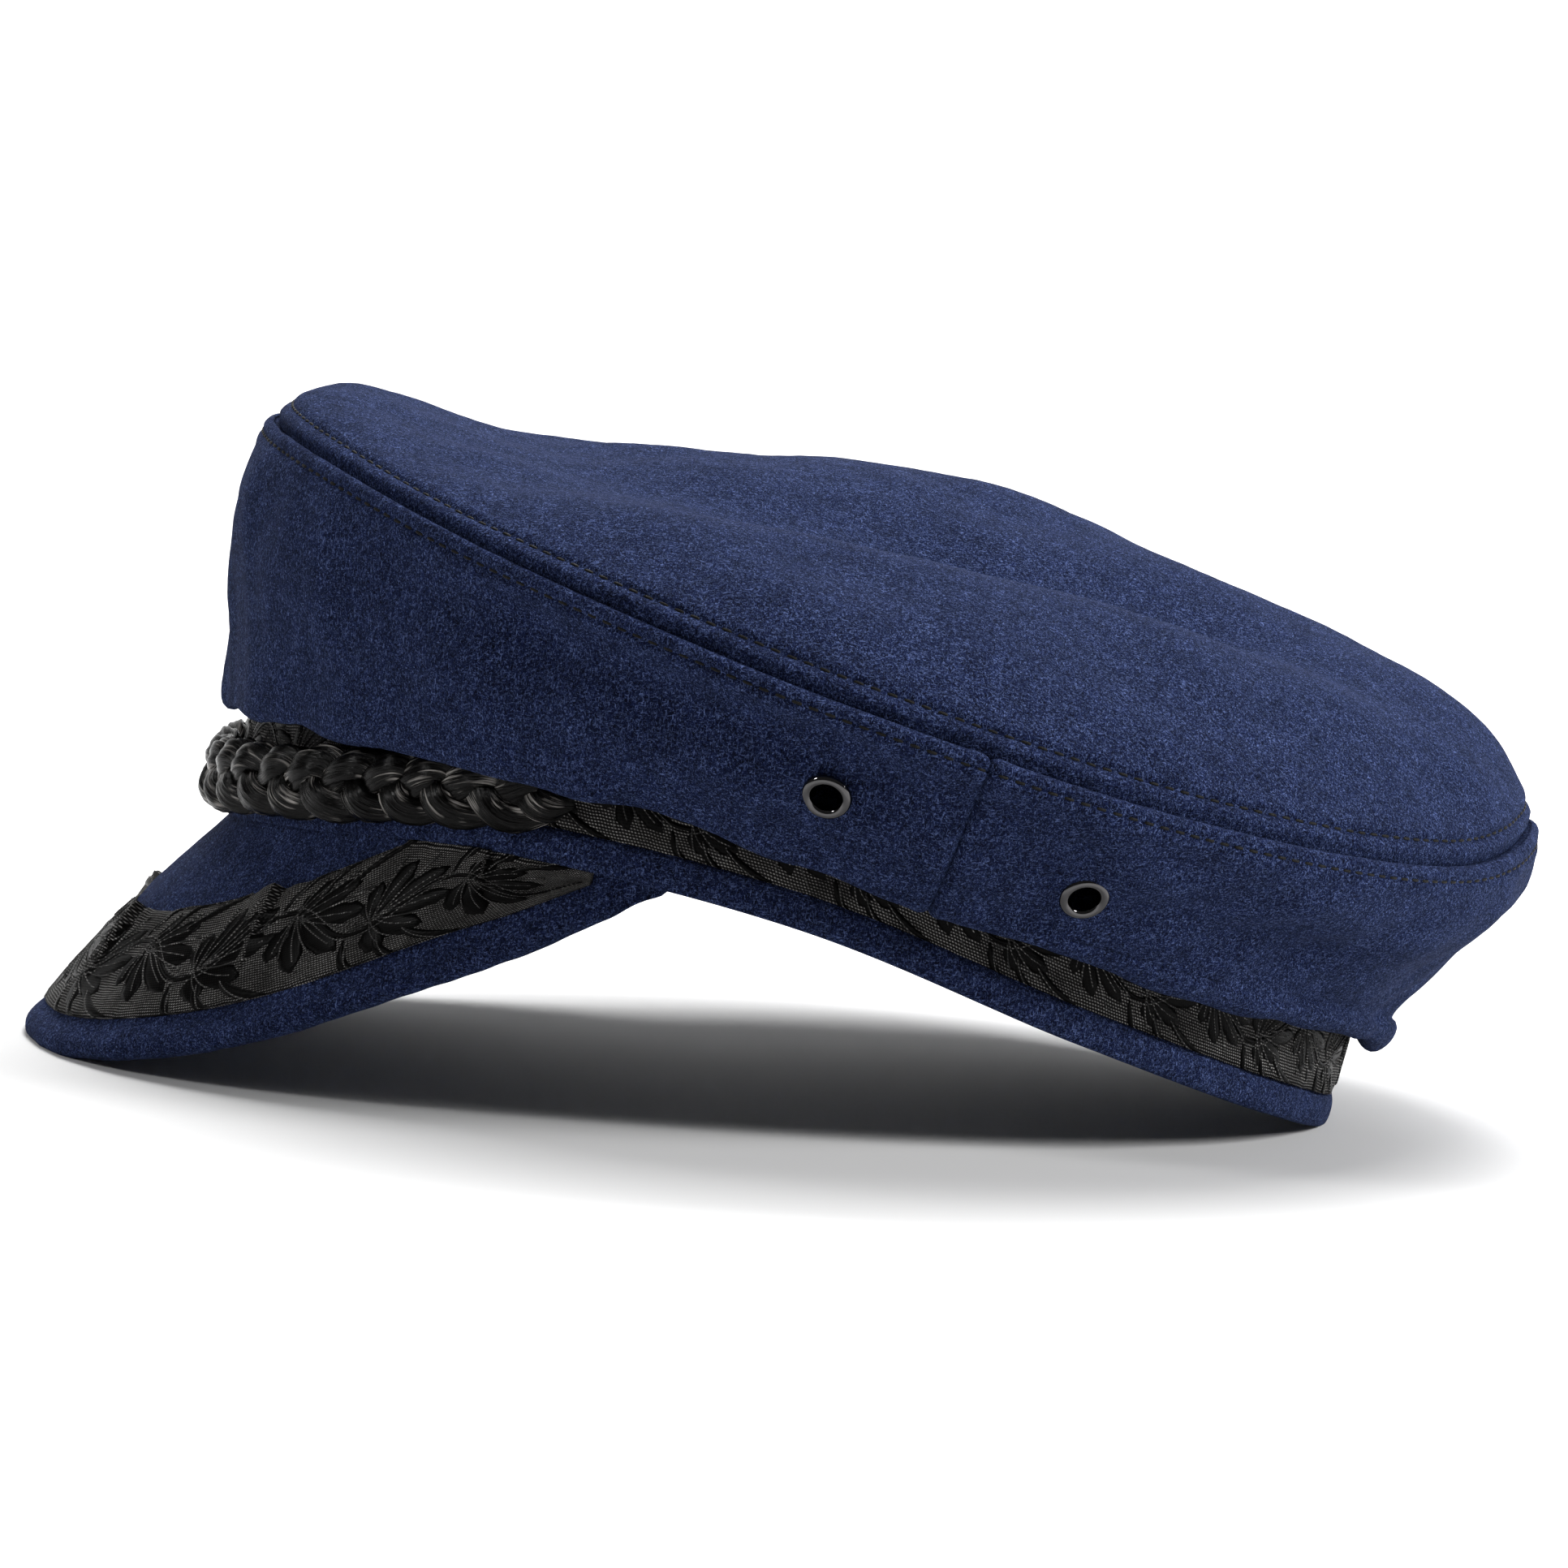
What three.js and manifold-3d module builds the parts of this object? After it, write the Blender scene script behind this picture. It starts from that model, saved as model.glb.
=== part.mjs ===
// A Breton fisherman cap in navy melton wool, as it lies on a table: on the rim of its peak and the back of its band.
// The soft crown is an oval top panel sewn to a front and a back wall, and pouches over the stiff band below it.
// A figured ribbon covers the band and edges the peak, a plaited cord crosses the front, and four metal eyelets air it.
// The cap's own frame has the head's centre at x = y = 0, the wearer's left at +x, the front at -y and up at +z,
// with z = 0 through the band's lower edge at the front and at the back. All sizes are in millimetres.

import * as THREE from "three";
import { mergeVertices } from "three/addons/utils/BufferGeometryUtils.js";
import Module from "manifold-3d";

// The head's opening and the band.
const headLength = 199;
const headWidth = 166;
const bandThickness = 3;
const bandHeight = 24;
const bandArch = 18;
const bandEdge = 6;
const bandEdgeRoll = 1.5;
const bandRibbonWidth = 17;
const ribbonThickness = 0.6;

// The crown: its cloth, its seam with the top panel, and how far it stands out from the band.
const clothThickness = 2;
const crownHeight = 66;
const crownFlare = 22;
const crownPouch = 11.2;
const topRise = 27;
const topSeamGroove = 1.2;
const sideSeamTurn = 100.5;

// The peak and its ribbon.
const peakLength = 54.5;
const peakThickness = 3.2;
const peakEndTurn = 79;
const peakRibbonWidth = 24;
const peakBorder = 8;
const tuckHeight = 1.3;

// The plaited cord.
const plaitWidth = 12.5;
const strandWidth = 5;
const strandThickness = 2.3;
const plaitPeriod = 24;
const plaitEndTurn = 66;

// The eyelets.
const eyeletBore = 5.2;
const eyeletFlange = 8.8;
const eyeletMetal = 0.5;
const eyeletPitch = 50;

// Fits between pieces, and how much the cloth gives where the cap rests.
const sewnGap = 0.3;
const eyeletPlay = 0.95;
const restFlattening = 0.6;

// How fine the meshes are.
const aroundSteps = 48;
const wallSamples = [0, 1, 2, 3, 3.6, 4, 4.4, 5, 6, 6.5, 7, 7.5, 8, 9];
const peakTurnSteps = 24;
const plaitStepsPerPeriod = 12;
const plaitStepsAcross = 7;
const eyeletSides = 14;

// The band's lower edge: its height as a share of bandArch, by the turn from the front in degrees.
const bandEdgeRows = [
  { turn: 0, arch: 0 },
  { turn: 30, arch: 0.32 },
  { turn: 60, arch: 0.85 },
  { turn: 90, arch: 0.97 },
  { turn: 120, arch: 0.54 },
  { turn: 150, arch: 0.14 },
  { turn: 180, arch: -0.1 },
];

// The crown's wall at each turn. pouch is a share of crownPouch: how far the fold hangs below the band's top.
// inner, fold, lobe, crease, belly and seam are shares of crownFlare: how far each level stands out from the band,
// from the inner layer that lies on the ribbon and the plait to the seam with the top panel.
// rise is the height of that seam as a share of crownHeight.
const wallRows = [
  { turn: 0, pouch: 0.45, inner: 0.13, fold: 0.23, lobe: 0.28, crease: 0.33, belly: 0.56, seam: 0.51, rise: 1.07 },
  { turn: 30, pouch: 0.58, inner: 0.16, fold: 0.27, lobe: 0.33, crease: 0.38, belly: 0.63, seam: 0.6, rise: 1.055 },
  { turn: 60, pouch: 0.88, inner: 0.29, fold: 0.36, lobe: 0.42, crease: 0.46, belly: 0.76, seam: 0.86, rise: 0.98 },
  { turn: 90, pouch: 1.09, inner: 0.2, fold: 0.32, lobe: 0.39, crease: 0.48, belly: 0.9, seam: 1.06, rise: 0.89 },
  { turn: 120, pouch: 0.89, inner: 0.14, fold: 0.33, lobe: 0.42, crease: 0.45, belly: 0.93, seam: 1.08, rise: 0.825 },
  { turn: 150, pouch: 0.66, inner: 0.13, fold: 0.29, lobe: 0.39, crease: 0.36, belly: 0.94, seam: 1.06, rise: 0.83 },
  { turn: 180, pouch: 0.72, inner: 0.13, fold: 0.24, lobe: 0.33, crease: 0.31, belly: 0.93, seam: 1.01, rise: 0.92 },
];
const lobeRise = 0.1;
const creaseRise = 0.19;
const bellyRise = 0.66;

// Soft dents and swells of the top panel. side and back place them as shares of the panel's half width and half length,
// wide and long are their reach in the same shares, and rise is a share of topRise.
const topForms = [
  { side: 0, back: -0.68, wide: 1.5, long: 0.3, rise: -0.5 },
  { side: 0, back: -0.97, wide: 0.5, long: 0.1, rise: 0.19 },
  { side: 0, back: 0.88, wide: 0.6, long: 0.16, rise: 0.1 },
  { side: 0.42, back: -0.12, wide: 0.34, long: 0.42, rise: -0.26 },
  { side: 0.3, back: 0.5, wide: 0.3, long: 0.3, rise: -0.1 },
  { side: -0.5, back: -0.3, wide: 0.4, long: 0.24, rise: -0.1 },
  { side: -0.5, back: 0.25, wide: 0.35, long: 0.3, rise: 0.03 },
];

// Soft dents of the wall. turn is in degrees, up is a share of the wall's height, the reach is in degrees and in the
// same share, and depth is a share of crownFlare.
const wallForms = [
  { turn: 62, up: 0.72, wide: 20, tall: 0.22, depth: 0.16 },
  { turn: 135, up: 0.45, wide: 24, tall: 0.14, depth: 0.12 },
  { turn: -70, up: 0.6, wide: 24, tall: 0.25, depth: 0.14 },
  { turn: -140, up: 0.4, wide: 20, tall: 0.16, depth: 0.12 },
];

// The peak at each turn: its length as a share of peakLength, its slope below level in degrees, and the distance
// from the rim to its ribbon as a share of peakBorder.
const peakRows = [
  { turn: 0, reach: 1, slope: 60, border: 0.82 },
  { turn: 20, reach: 0.965, slope: 63.5, border: 0.9 },
  { turn: 40, reach: 0.75, slope: 71, border: 1.06 },
  { turn: 60, reach: 0.4, slope: 78, border: 1.28 },
  { turn: 80, reach: 0.02, slope: 84, border: 1.4 },
];
const peakBend = 10;

// The tucks that take up the ribbon's slack on the inside of its curve, by their turn in degrees.
const tuckTurns = [-58, -35, -12, 12, 35, 58];
const tuckReach = 2.6;

// The plait at each turn: the height of its middle above the band's lower edge as a share of bandHeight, and how much
// of its full thickness it keeps where the crown presses it flat.
const plaitRows = [
  { turn: 0, rise: 0.31, depth: 1 },
  { turn: 24, rise: 0.32, depth: 1 },
  { turn: 48, rise: 0.39, depth: 0.85 },
  { turn: 60, rise: 0.45, depth: 0.62 },
  { turn: 72, rise: 0.6, depth: 0.5 },
];

// The eyelets of each side: how many half pitches from the side seam, and the height as a share of the wall's.
const eyeletRows = [
  { name: "front", halfPitches: -1, up: 0.45 },
  { name: "rear", halfPitches: 1.06, up: 0.38 },
];

const wasm = await Module();
wasm.setup();

const radians = THREE.MathUtils.degToRad;

// A column of a table at any turn round the cap: smooth between the rows, and the same on both sides.
function atTurn(rows, column, turn) {
  const folded = Math.abs(((((turn + 180) % 360) + 360) % 360) - 180);
  const last = rows.length - 1;
  let i = 0;
  while (i < last - 1 && folded > rows[i + 1].turn) i += 1;
  const mirrored = (k) => rows[k < 0 ? -k : k > last ? 2 * last - k : k][column];
  const span = rows[i + 1].turn - rows[i].turn;
  const s = Math.min(1, (folded - rows[i].turn) / span);
  const [a, b, c, d] = [i - 1, i, i + 1, i + 2].map(mirrored);
  return b + 0.5 * s * (c - a + s * (2 * a - 5 * b + 4 * c - d + s * (3 * (b - c) + d - a)));
}

// A point that stands out by a distance from the band's outer face, at a turn and a height in the cap's frame.
const bandHalfLength = headLength / 2 + bandThickness;
const bandHalfWidth = headWidth / 2 + bandThickness;
function fromBand(turn, out, z) {
  const a = radians(turn);
  const normal = new THREE.Vector2(Math.sin(a) / bandHalfWidth, -Math.cos(a) / bandHalfLength).normalize();
  return new THREE.Vector3(
    bandHalfWidth * Math.sin(a) + normal.x * out,
    -bandHalfLength * Math.cos(a) + normal.y * out,
    z,
  );
}

const bandBottom = (turn) => bandArch * atTurn(bandEdgeRows, "arch", turn);
const bandTop = (turn) => bandBottom(turn) + bandHeight;

// A solid from loops of points that are joined in turn. A loop runs along one face of a wall and back along the other.
function loft(loops, ring) {
  const count = loops[0].length;
  const corners = [];
  const triangle = (a, b, c) => {
    const flat = a.distanceTo(b) < 1e-6 || b.distanceTo(c) < 1e-6 || c.distanceTo(a) < 1e-6;
    if (!flat) corners.push(a, b, c);
  };
  const quad = (a, b, c, d) => {
    triangle(a, b, c);
    triangle(a, c, d);
  };
  const joins = ring ? loops.length : loops.length - 1;
  for (let i = 0; i < joins; i += 1) {
    const [here, next] = [loops[i], loops[(i + 1) % loops.length]];
    for (let j = 0; j < count; j += 1) {
      const k = (j + 1) % count;
      quad(here[j], here[k], next[k], next[j]);
    }
  }
  if (!ring) {
    const [first, last] = [loops[0], loops[loops.length - 1]];
    for (let j = 0; j < count / 2 - 1; j += 1) {
      const k = count - 1 - j;
      quad(first[j], first[k], first[k - 1], first[j + 1]);
      quad(last[j], last[j + 1], last[k - 1], last[k]);
    }
  }
  return facingOut(mergeVertices(new THREE.BufferGeometry().setFromPoints(corners), 1e-5));
}

// The same geometry with its faces turned so that they point out.
function facingOut(geometry) {
  const [a, b, c] = [new THREE.Vector3(), new THREE.Vector3(), new THREE.Vector3()];
  const place = geometry.getAttribute("position");
  const index = geometry.index.array;
  let volume = 0;
  for (let i = 0; i < index.length; i += 3) {
    a.fromBufferAttribute(place, index[i]);
    b.fromBufferAttribute(place, index[i + 1]);
    c.fromBufferAttribute(place, index[i + 2]);
    volume += a.dot(b.cross(c));
  }
  if (volume < 0)
    for (let i = 0; i < index.length; i += 3) [index[i + 1], index[i + 2]] = [index[i + 2], index[i + 1]];
  return geometry;
}

function toManifold(geometry) {
  const bare = new THREE.BufferGeometry().setAttribute("position", geometry.getAttribute("position").clone());
  if (geometry.index) bare.setIndex(geometry.index.clone());
  const merged = mergeVertices(bare, 1e-4);
  return new wasm.Manifold(
    new wasm.Mesh({
      numProp: 3,
      vertProperties: new Float32Array(merged.getAttribute("position").array),
      triVerts: new Uint32Array(merged.index.array),
    }),
  );
}

function fromManifold(solid) {
  const made = solid.getMesh();
  return new THREE.BufferGeometry()
    .setAttribute("position", new THREE.BufferAttribute(made.vertProperties, 3))
    .setIndex(new THREE.BufferAttribute(made.triVerts, 1));
}

// The two faces of a wall from its middle line, a list of (out, z) pairs at one turn, as one loop.
function wallLoop(turn, line, thickness) {
  const faces = [[], []];
  line.forEach((point, i) => {
    const before = line[Math.max(0, i - 1)];
    const after = line[Math.min(line.length - 1, i + 1)];
    const along = after.clone().sub(before).normalize();
    [1, -1].forEach((side, f) =>
      faces[f].push(
        fromBand(turn, point.x + (side * along.y * thickness) / 2, point.y - (side * along.x * thickness) / 2),
      ),
    );
  });
  return [...faces[0], ...faces[1].reverse()];
}

// The middle line of the crown's wall at a turn: sewn above the band, over the ribbon, down to the fold, out and up.
function wallLine(turn) {
  const level = (column) => crownFlare * atTurn(wallRows, column, turn);
  const seamHeight = crownHeight * atTurn(wallRows, "rise", turn);
  const foldHeight = bandTop(turn) - crownPouch * atTurn(wallRows, "pouch", turn);
  const height = seamHeight - foldHeight;
  const inside = level("inner");
  const start = bandTop(turn) + 2 * sewnGap + clothThickness / 2;
  const curve = new THREE.SplineCurve([
    new THREE.Vector2(-bandThickness, start),
    new THREE.Vector2(-bandThickness / 4, start + clothThickness),
    new THREE.Vector2(inside + 0.1, start - clothThickness / 2),
    new THREE.Vector2(inside, foldHeight + 1.6 * clothThickness),
    new THREE.Vector2(level("fold"), foldHeight + clothThickness / 2),
    new THREE.Vector2(level("lobe"), foldHeight + height * lobeRise),
    new THREE.Vector2(level("crease"), foldHeight + height * creaseRise),
    new THREE.Vector2(level("belly"), foldHeight + height * bellyRise),
    new THREE.Vector2(level("seam") + topSeamGroove / 2, seamHeight - 1.5 * clothThickness),
    new THREE.Vector2(level("seam") - topSeamGroove, seamHeight - sewnGap),
  ]);
  const line = wallSamples.map((sample) => curve.getPoint(sample / (curve.points.length - 1)));
  line.forEach((point) => {
    const up = (point.y - foldHeight) / height;
    wallForms.forEach((form) => {
      const across = ((((turn - form.turn + 180) % 360) + 360) % 360) - 180;
      const near = Math.exp(-((across / form.wide) ** 2) - ((up - form.up) / form.tall) ** 2);
      if (point.x > inside + clothThickness) point.x -= crownFlare * form.depth * near;
    });
  });
  return line;
}

function wall(fromTurn, toTurn) {
  const steps = Math.round((aroundSteps * (toTurn - fromTurn)) / 360);
  const loops = Array.from({ length: steps + 1 }, (_, i) => {
    const turn = fromTurn + ((toTurn - fromTurn) * i) / steps;
    return wallLoop(turn, wallLine(turn), clothThickness);
  });
  return loft(loops, false);
}

// The top panel's height over the seam, and a point of its upper face. share is 0 at the middle and 1 at the seam.
const puff = (share) => (1 - share ** 3) ** 0.625;
function seamPoint(turn) {
  const out = crownFlare * atTurn(wallRows, "seam", turn) - topSeamGroove;
  return fromBand(turn, out, crownHeight * atTurn(wallRows, "rise", turn));
}
const [seamFront, seamBack, seamLeft] = [0, 180, 90].map(seamPoint);
const topMiddle = new THREE.Vector3(0, (seamFront.y + seamBack.y) / 2, (seamFront.z + seamBack.z + 2 * seamLeft.z) / 4);
const topHalfLength = (seamBack.y - seamFront.y) / 2;
const topHalfWidth = seamLeft.x;
function topPoint(turn, share) {
  const edge = seamPoint(turn);
  const point = topMiddle.clone().lerp(edge, share);
  point.z = topMiddle.z + (edge.z - topMiddle.z) * share ** 2 + topRise * puff(share) + clothThickness / 2;
  const side = (point.x - topMiddle.x) / topHalfWidth;
  const back = (point.y - topMiddle.y) / topHalfLength;
  topForms.forEach((form) => {
    const near = Math.exp(-(((side - form.side) / form.wide) ** 2) - ((back - form.back) / form.long) ** 2);
    point.z += topRise * form.rise * near * puff(share);
  });
  return point;
}

function topPanel() {
  const shares = [1, 0.985, 0.95, 0.9, 0.82, 0.7, 0.54, 0.36, 0.18, 0];
  const loops = Array.from({ length: aroundSteps }, (_, i) => {
    const turn = (360 * i) / aroundSteps;
    const upper = shares.map((share) => topPoint(turn, share));
    const lower = shares.map((share, k) => {
      const inward = topMiddle.clone().sub(seamPoint(turn)).setZ(0).normalize();
      const before = upper[Math.max(0, k - 1)];
      const after = upper[Math.min(shares.length - 1, k + 1)];
      const along = after.clone().sub(before);
      const run = along.dot(inward);
      const length = Math.hypot(run, along.z);
      const place = upper[k].clone().addScaledVector(inward, (clothThickness * along.z) / length);
      place.z -= (clothThickness * run) / length;
      return share === 0 ? topPoint(0, 0).setZ(topPoint(0, 0).z - clothThickness) : place;
    });
    return [...upper, ...lower.reverse()];
  });
  return loft(loops, true);
}

// A ring or an arc of one closed section that follows the band: a list of [out, height above the band's edge].
function onBand(section, fromTurn, toTurn) {
  const whole = toTurn - fromTurn === 360;
  const steps = Math.round((aroundSteps * (toTurn - fromTurn)) / 360);
  const loops = Array.from({ length: whole ? steps : steps + 1 }, (_, i) => {
    const turn = fromTurn + ((toTurn - fromTurn) * i) / steps;
    return section.map(([out, up]) => fromBand(turn, out, bandBottom(turn) + up));
  });
  return loft(loops, whole);
}

const bandSection = [
  [-bandThickness, bandThickness / 3],
  [-bandThickness * 0.7, 0],
  [0, 0],
  [bandEdgeRoll * 0.8, bandEdge * 0.16],
  [bandEdgeRoll, bandEdge * 0.5],
  [bandEdgeRoll * 0.75, bandEdge * 0.85],
  [0, bandEdge],
  [0, bandHeight],
  [-bandThickness, bandHeight],
];
const ribbonSection = [
  [sewnGap, bandEdge + sewnGap],
  [sewnGap + ribbonThickness, bandEdge + sewnGap],
  [sewnGap + ribbonThickness, bandEdge + sewnGap + bandRibbonWidth],
  [sewnGap, bandEdge + sewnGap + bandRibbonWidth],
];

// The peak's upper face: a point at a turn, a distance from the band along the board, and a height above the face.
function peakPoint(turn, along, above) {
  const reach = peakLength * atTurn(peakRows, "reach", turn);
  const slope = atTurn(peakRows, "slope", turn);
  const pieces = 6;
  let out = -bandThickness * 0.6;
  let z = bandBottom(turn) - 1.4 * sewnGap;
  for (let i = 0; i < pieces; i += 1) {
    const bent = radians(slope + peakBend * ((((i + 0.5) / pieces) * along) / peakLength - 0.4));
    out += (Math.cos(bent) * along) / pieces;
    z -= (Math.sin(bent) * along) / pieces;
  }
  const end = radians(slope + peakBend * (along / peakLength - 0.4));
  const lift = above + peakThickness / 2;
  const level = 1 - Math.min(1, along / (peakThickness / 2));
  const [sin, cos] = [Math.sin(end), Math.cos(end)];
  return {
    point: fromBand(turn, out + (lift * sin) / (1 - level * (1 - sin ** 2)), z + lift * cos * (1 - level)),
    reach,
  };
}

function peak() {
  const shares = [0, 0.06, 0.25, 0.45, 0.65, 0.82, 0.93, 1];
  const loops = Array.from({ length: peakTurnSteps + 1 }, (_, i) => {
    const turn = peakEndTurn * ((2 * i) / peakTurnSteps - 1);
    const reach = peakPoint(turn, 0, 0).reach;
    const rounding = Math.min(peakThickness, reach / 3);
    const face = (above) =>
      shares.map((share) => {
        const tip = share === 1;
        const fade = tip ? 0.3 : 1;
        const along = tip ? reach : share * (reach - rounding * 0.5);
        const middle = -peakThickness / 2;
        return peakPoint(turn, along, middle + (above - middle) * fade).point;
      });
    return [...face(0), ...face(-peakThickness).reverse()];
  });
  return loft(loops, false);
}

// The ribbon on the peak keeps one width, and ends where its outer edge runs under the band.
const tuckShape = (turn) =>
  tuckTurns.reduce((sum, tuck) => sum + Math.exp(-(((turn - tuck) / tuckReach) ** 2)), 0);
const ribbonOuter = (turn) => peakPoint(turn, 0, 0).reach - peakBorder * atTurn(peakRows, "border", turn);
function peakRibbon() {
  const hidden = 2 * sewnGap;
  let endTurn = peakEndTurn;
  while (ribbonOuter(endTurn) < hidden + 2 * ribbonThickness) endTurn -= 0.5;
  const across = [0, 0.5, 1];
  const steps = 3 * peakTurnSteps;
  const loops = Array.from({ length: steps + 1 }, (_, i) => {
    const turn = endTurn * ((2 * i) / steps - 1);
    const outer = ribbonOuter(turn);
    const inner = Math.max(outer - peakRibbonWidth, hidden);
    const face = (base) =>
      across.map((share) => {
        const room = (outer - inner) / peakRibbonWidth;
        const tuck = tuckHeight * tuckShape(turn) * (1 - share) ** 1.2 * room;
        return peakPoint(turn, inner + (outer - inner) * share, base + tuck).point;
      });
    return [...face(1.4 * sewnGap + ribbonThickness), ...face(1.4 * sewnGap).reverse()];
  });
  return loft(loops, false);
}

// The plait is one bundle of three strands, with a flat back. Each strand swings across it once a period and dives
// under its neighbours, and its outer face at any place is the strand that lies on top there.
const plaitSwing = (plaitWidth - strandWidth) / 2;
const plaitClear = 1.2 * sewnGap + bandEdgeRoll;
const alongPlait = [0];
for (let turn = 1; turn <= plaitEndTurn; turn += 1)
  alongPlait.push(
    alongPlait[turn - 1] +
      fromBand(turn - 1, plaitClear, bandBottom(turn - 1)).distanceTo(fromBand(turn, plaitClear, bandBottom(turn))),
  );
function plait() {
  const length = alongPlait[plaitEndTurn];
  const steps = Math.round(((2 * length) / plaitPeriod) * plaitStepsPerPeriod);
  const loops = Array.from({ length: steps + 1 }, (_, i) => {
    const place = length * ((2 * i) / steps - 1);
    const whole = Math.min(plaitEndTurn - 1, alongPlait.findLastIndex((reached) => reached <= Math.abs(place)));
    const part = (Math.abs(place) - alongPlait[whole]) / (alongPlait[whole + 1] - alongPlait[whole]);
    const turn = Math.sign(place) * (whole + part);
    const depth = atTurn(plaitRows, "depth", turn);
    const strands = [0, 1, 2].map((number) => {
      const phase = 2 * Math.PI * (place / plaitPeriod + number / 3);
      return { up: plaitSwing * Math.sin(phase), out: (strandThickness / 2) * (2 + Math.sin(2 * phase)) };
    });
    const top = Math.max(...strands.map((one) => one.up)) + strandWidth / 2;
    const bottom = Math.min(...strands.map((one) => one.up)) - strandWidth / 2;
    const middle = bandBottom(turn) + bandHeight * atTurn(plaitRows, "rise", turn);
    const face = Array.from({ length: plaitStepsAcross + 1 }, (_, k) => {
      const up = bottom + ((top - bottom) * k) / plaitStepsAcross;
      const heights = strands.map((one) => {
        const across = Math.min(1, Math.abs(up - one.up) / (strandWidth / 2));
        return across < 1 ? one.out + (strandThickness / 2) * Math.sqrt(1 - across ** 2) : 0;
      });
      return fromBand(turn, plaitClear + depth * Math.max(strandThickness / 4, ...heights), middle + up);
    });
    const back = [bottom, top].map((up) => fromBand(turn, plaitClear, middle + up));
    return [back[0], ...face, back[1]];
  });
  return loft(loops, false);
}

// An eyelet's place on the wall: the middle of the cloth, and the way out of it.
function eyeletPlace(side, row) {
  const arc = (row.halfPitches * eyeletPitch) / 2;
  const turn = sideSeamTurn + THREE.MathUtils.radToDeg(arc / (bandHalfLength + crownFlare));
  const line = wallLine(side * turn);
  const foldHeight = Math.min(...line.map((point) => point.y));
  const seamHeight = crownHeight * atTurn(wallRows, "rise", turn);
  const wanted = foldHeight + row.up * (seamHeight - foldHeight);
  const outer = line.findIndex((point) => point.y === foldHeight);
  const above = line.findIndex((point, i) => i > outer && point.y > wanted);
  const share = (wanted - line[above - 1].y) / (line[above].y - line[above - 1].y);
  const middle = line[above - 1].clone().lerp(line[above], share);
  const along = line[above].clone().sub(line[above - 1]).normalize();
  const place = fromBand(side * turn, middle.x, middle.y);
  const outward = fromBand(side * turn, middle.x + along.y, middle.y - along.x).sub(place);
  return { place, outward: outward.normalize() };
}

// The eyelet's ring: a barrel through the cloth with a rolled flange on each face.
function eyelet() {
  const bore = eyeletBore / 2;
  const rim = eyeletFlange / 2;
  const inner = clothThickness / 2 + eyeletPlay;
  const outer = inner + eyeletMetal * 2;
  const barrel = bore + eyeletMetal;
  const profile = [
    [bore, -outer + eyeletMetal],
    [bore + eyeletMetal, -outer],
    [rim - eyeletMetal, -outer + eyeletMetal * 0.6],
    [rim - eyeletMetal, -inner],
    [barrel, -inner],
    [barrel, inner],
    [rim - eyeletMetal * 0.4, inner],
    [rim, inner + eyeletMetal * 0.7],
    [rim - eyeletMetal * 1.2, outer - eyeletMetal * 0.1],
    [bore + eyeletMetal * 1.4, outer],
    [bore, outer - eyeletMetal],
    [bore, -outer + eyeletMetal],
  ].map(([radius, height]) => new THREE.Vector2(radius, height));
  const ring = new THREE.LatheGeometry(profile, eyeletSides);
  return facingOut(fromManifold(toManifold(ring)));
}

// A wall with a round hole through it at each of its eyelets.
function withHoles(geometry, places) {
  const radius = eyeletBore / 2 + eyeletMetal + sewnGap;
  const depth = clothThickness + 4 * eyeletPlay;
  return fromManifold(
    places.reduce((solid, { place, outward }) => {
      const punch = new THREE.CylinderGeometry(radius, radius, depth, eyeletSides);
      punch.applyQuaternion(new THREE.Quaternion().setFromUnitVectors(new THREE.Vector3(0, 1, 0), outward));
      punch.translate(place.x, place.y, place.z);
      return solid.subtract(toManifold(punch));
    }, toManifold(geometry)),
  );
}

// The pieces, each with its colour and finish, still upright in the cap's own frame.
const wool = new THREE.MeshStandardMaterial({ color: 0x1e2a52, roughness: 0.95, metalness: 0 });
const ribbonCloth = new THREE.MeshStandardMaterial({ color: 0x1c1c1c, roughness: 0.7, metalness: 0 });
const satinCord = new THREE.MeshStandardMaterial({ color: 0x0d0c0c, roughness: 0.4, metalness: 0 });
const blackNickel = new THREE.MeshStandardMaterial({ color: 0x2a2829, roughness: 0.15, metalness: 1 });

const seamHalfGap = THREE.MathUtils.radToDeg(sewnGap / 2 / (bandHalfWidth + crownFlare * 0.2));
const eyelets = [1, -1].flatMap((side) =>
  eyeletRows.map((row) => ({
    name: `eyelet_${side > 0 ? "left" : "right"}_${row.name}`,
    onFront: row.halfPitches < 0,
    ...eyeletPlace(side, row),
  })),
);
const frontEyelets = eyelets.filter((one) => one.onFront);
const rearEyelets = eyelets.filter((one) => !one.onFront);

const bandGeometry = onBand(bandSection, 0, 360);
const peakGeometry = peak();

// How the cap lies: turned back until the peak's rim and the back of the band touch one level, and pressed a little.
function lowest(geometry, tilt, behind) {
  const place = geometry.getAttribute("position");
  let low = Infinity;
  for (let i = 0; i < place.count; i += 1)
    if (!behind || place.getY(i) > 0)
      low = Math.min(low, place.getZ(i) * Math.cos(tilt) - place.getY(i) * Math.sin(tilt));
  return low;
}
let [leastTilt, mostTilt] = [0, radians(45)];
for (let i = 0; i < 40; i += 1) {
  const tilt = (leastTilt + mostTilt) / 2;
  if (lowest(peakGeometry, tilt, false) < lowest(bandGeometry, tilt, true)) leastTilt = tilt;
  else mostTilt = tilt;
}
const restTilt = (leastTilt + mostTilt) / 2;
const restHeight = -lowest(bandGeometry, restTilt, true) - restFlattening;

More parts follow.
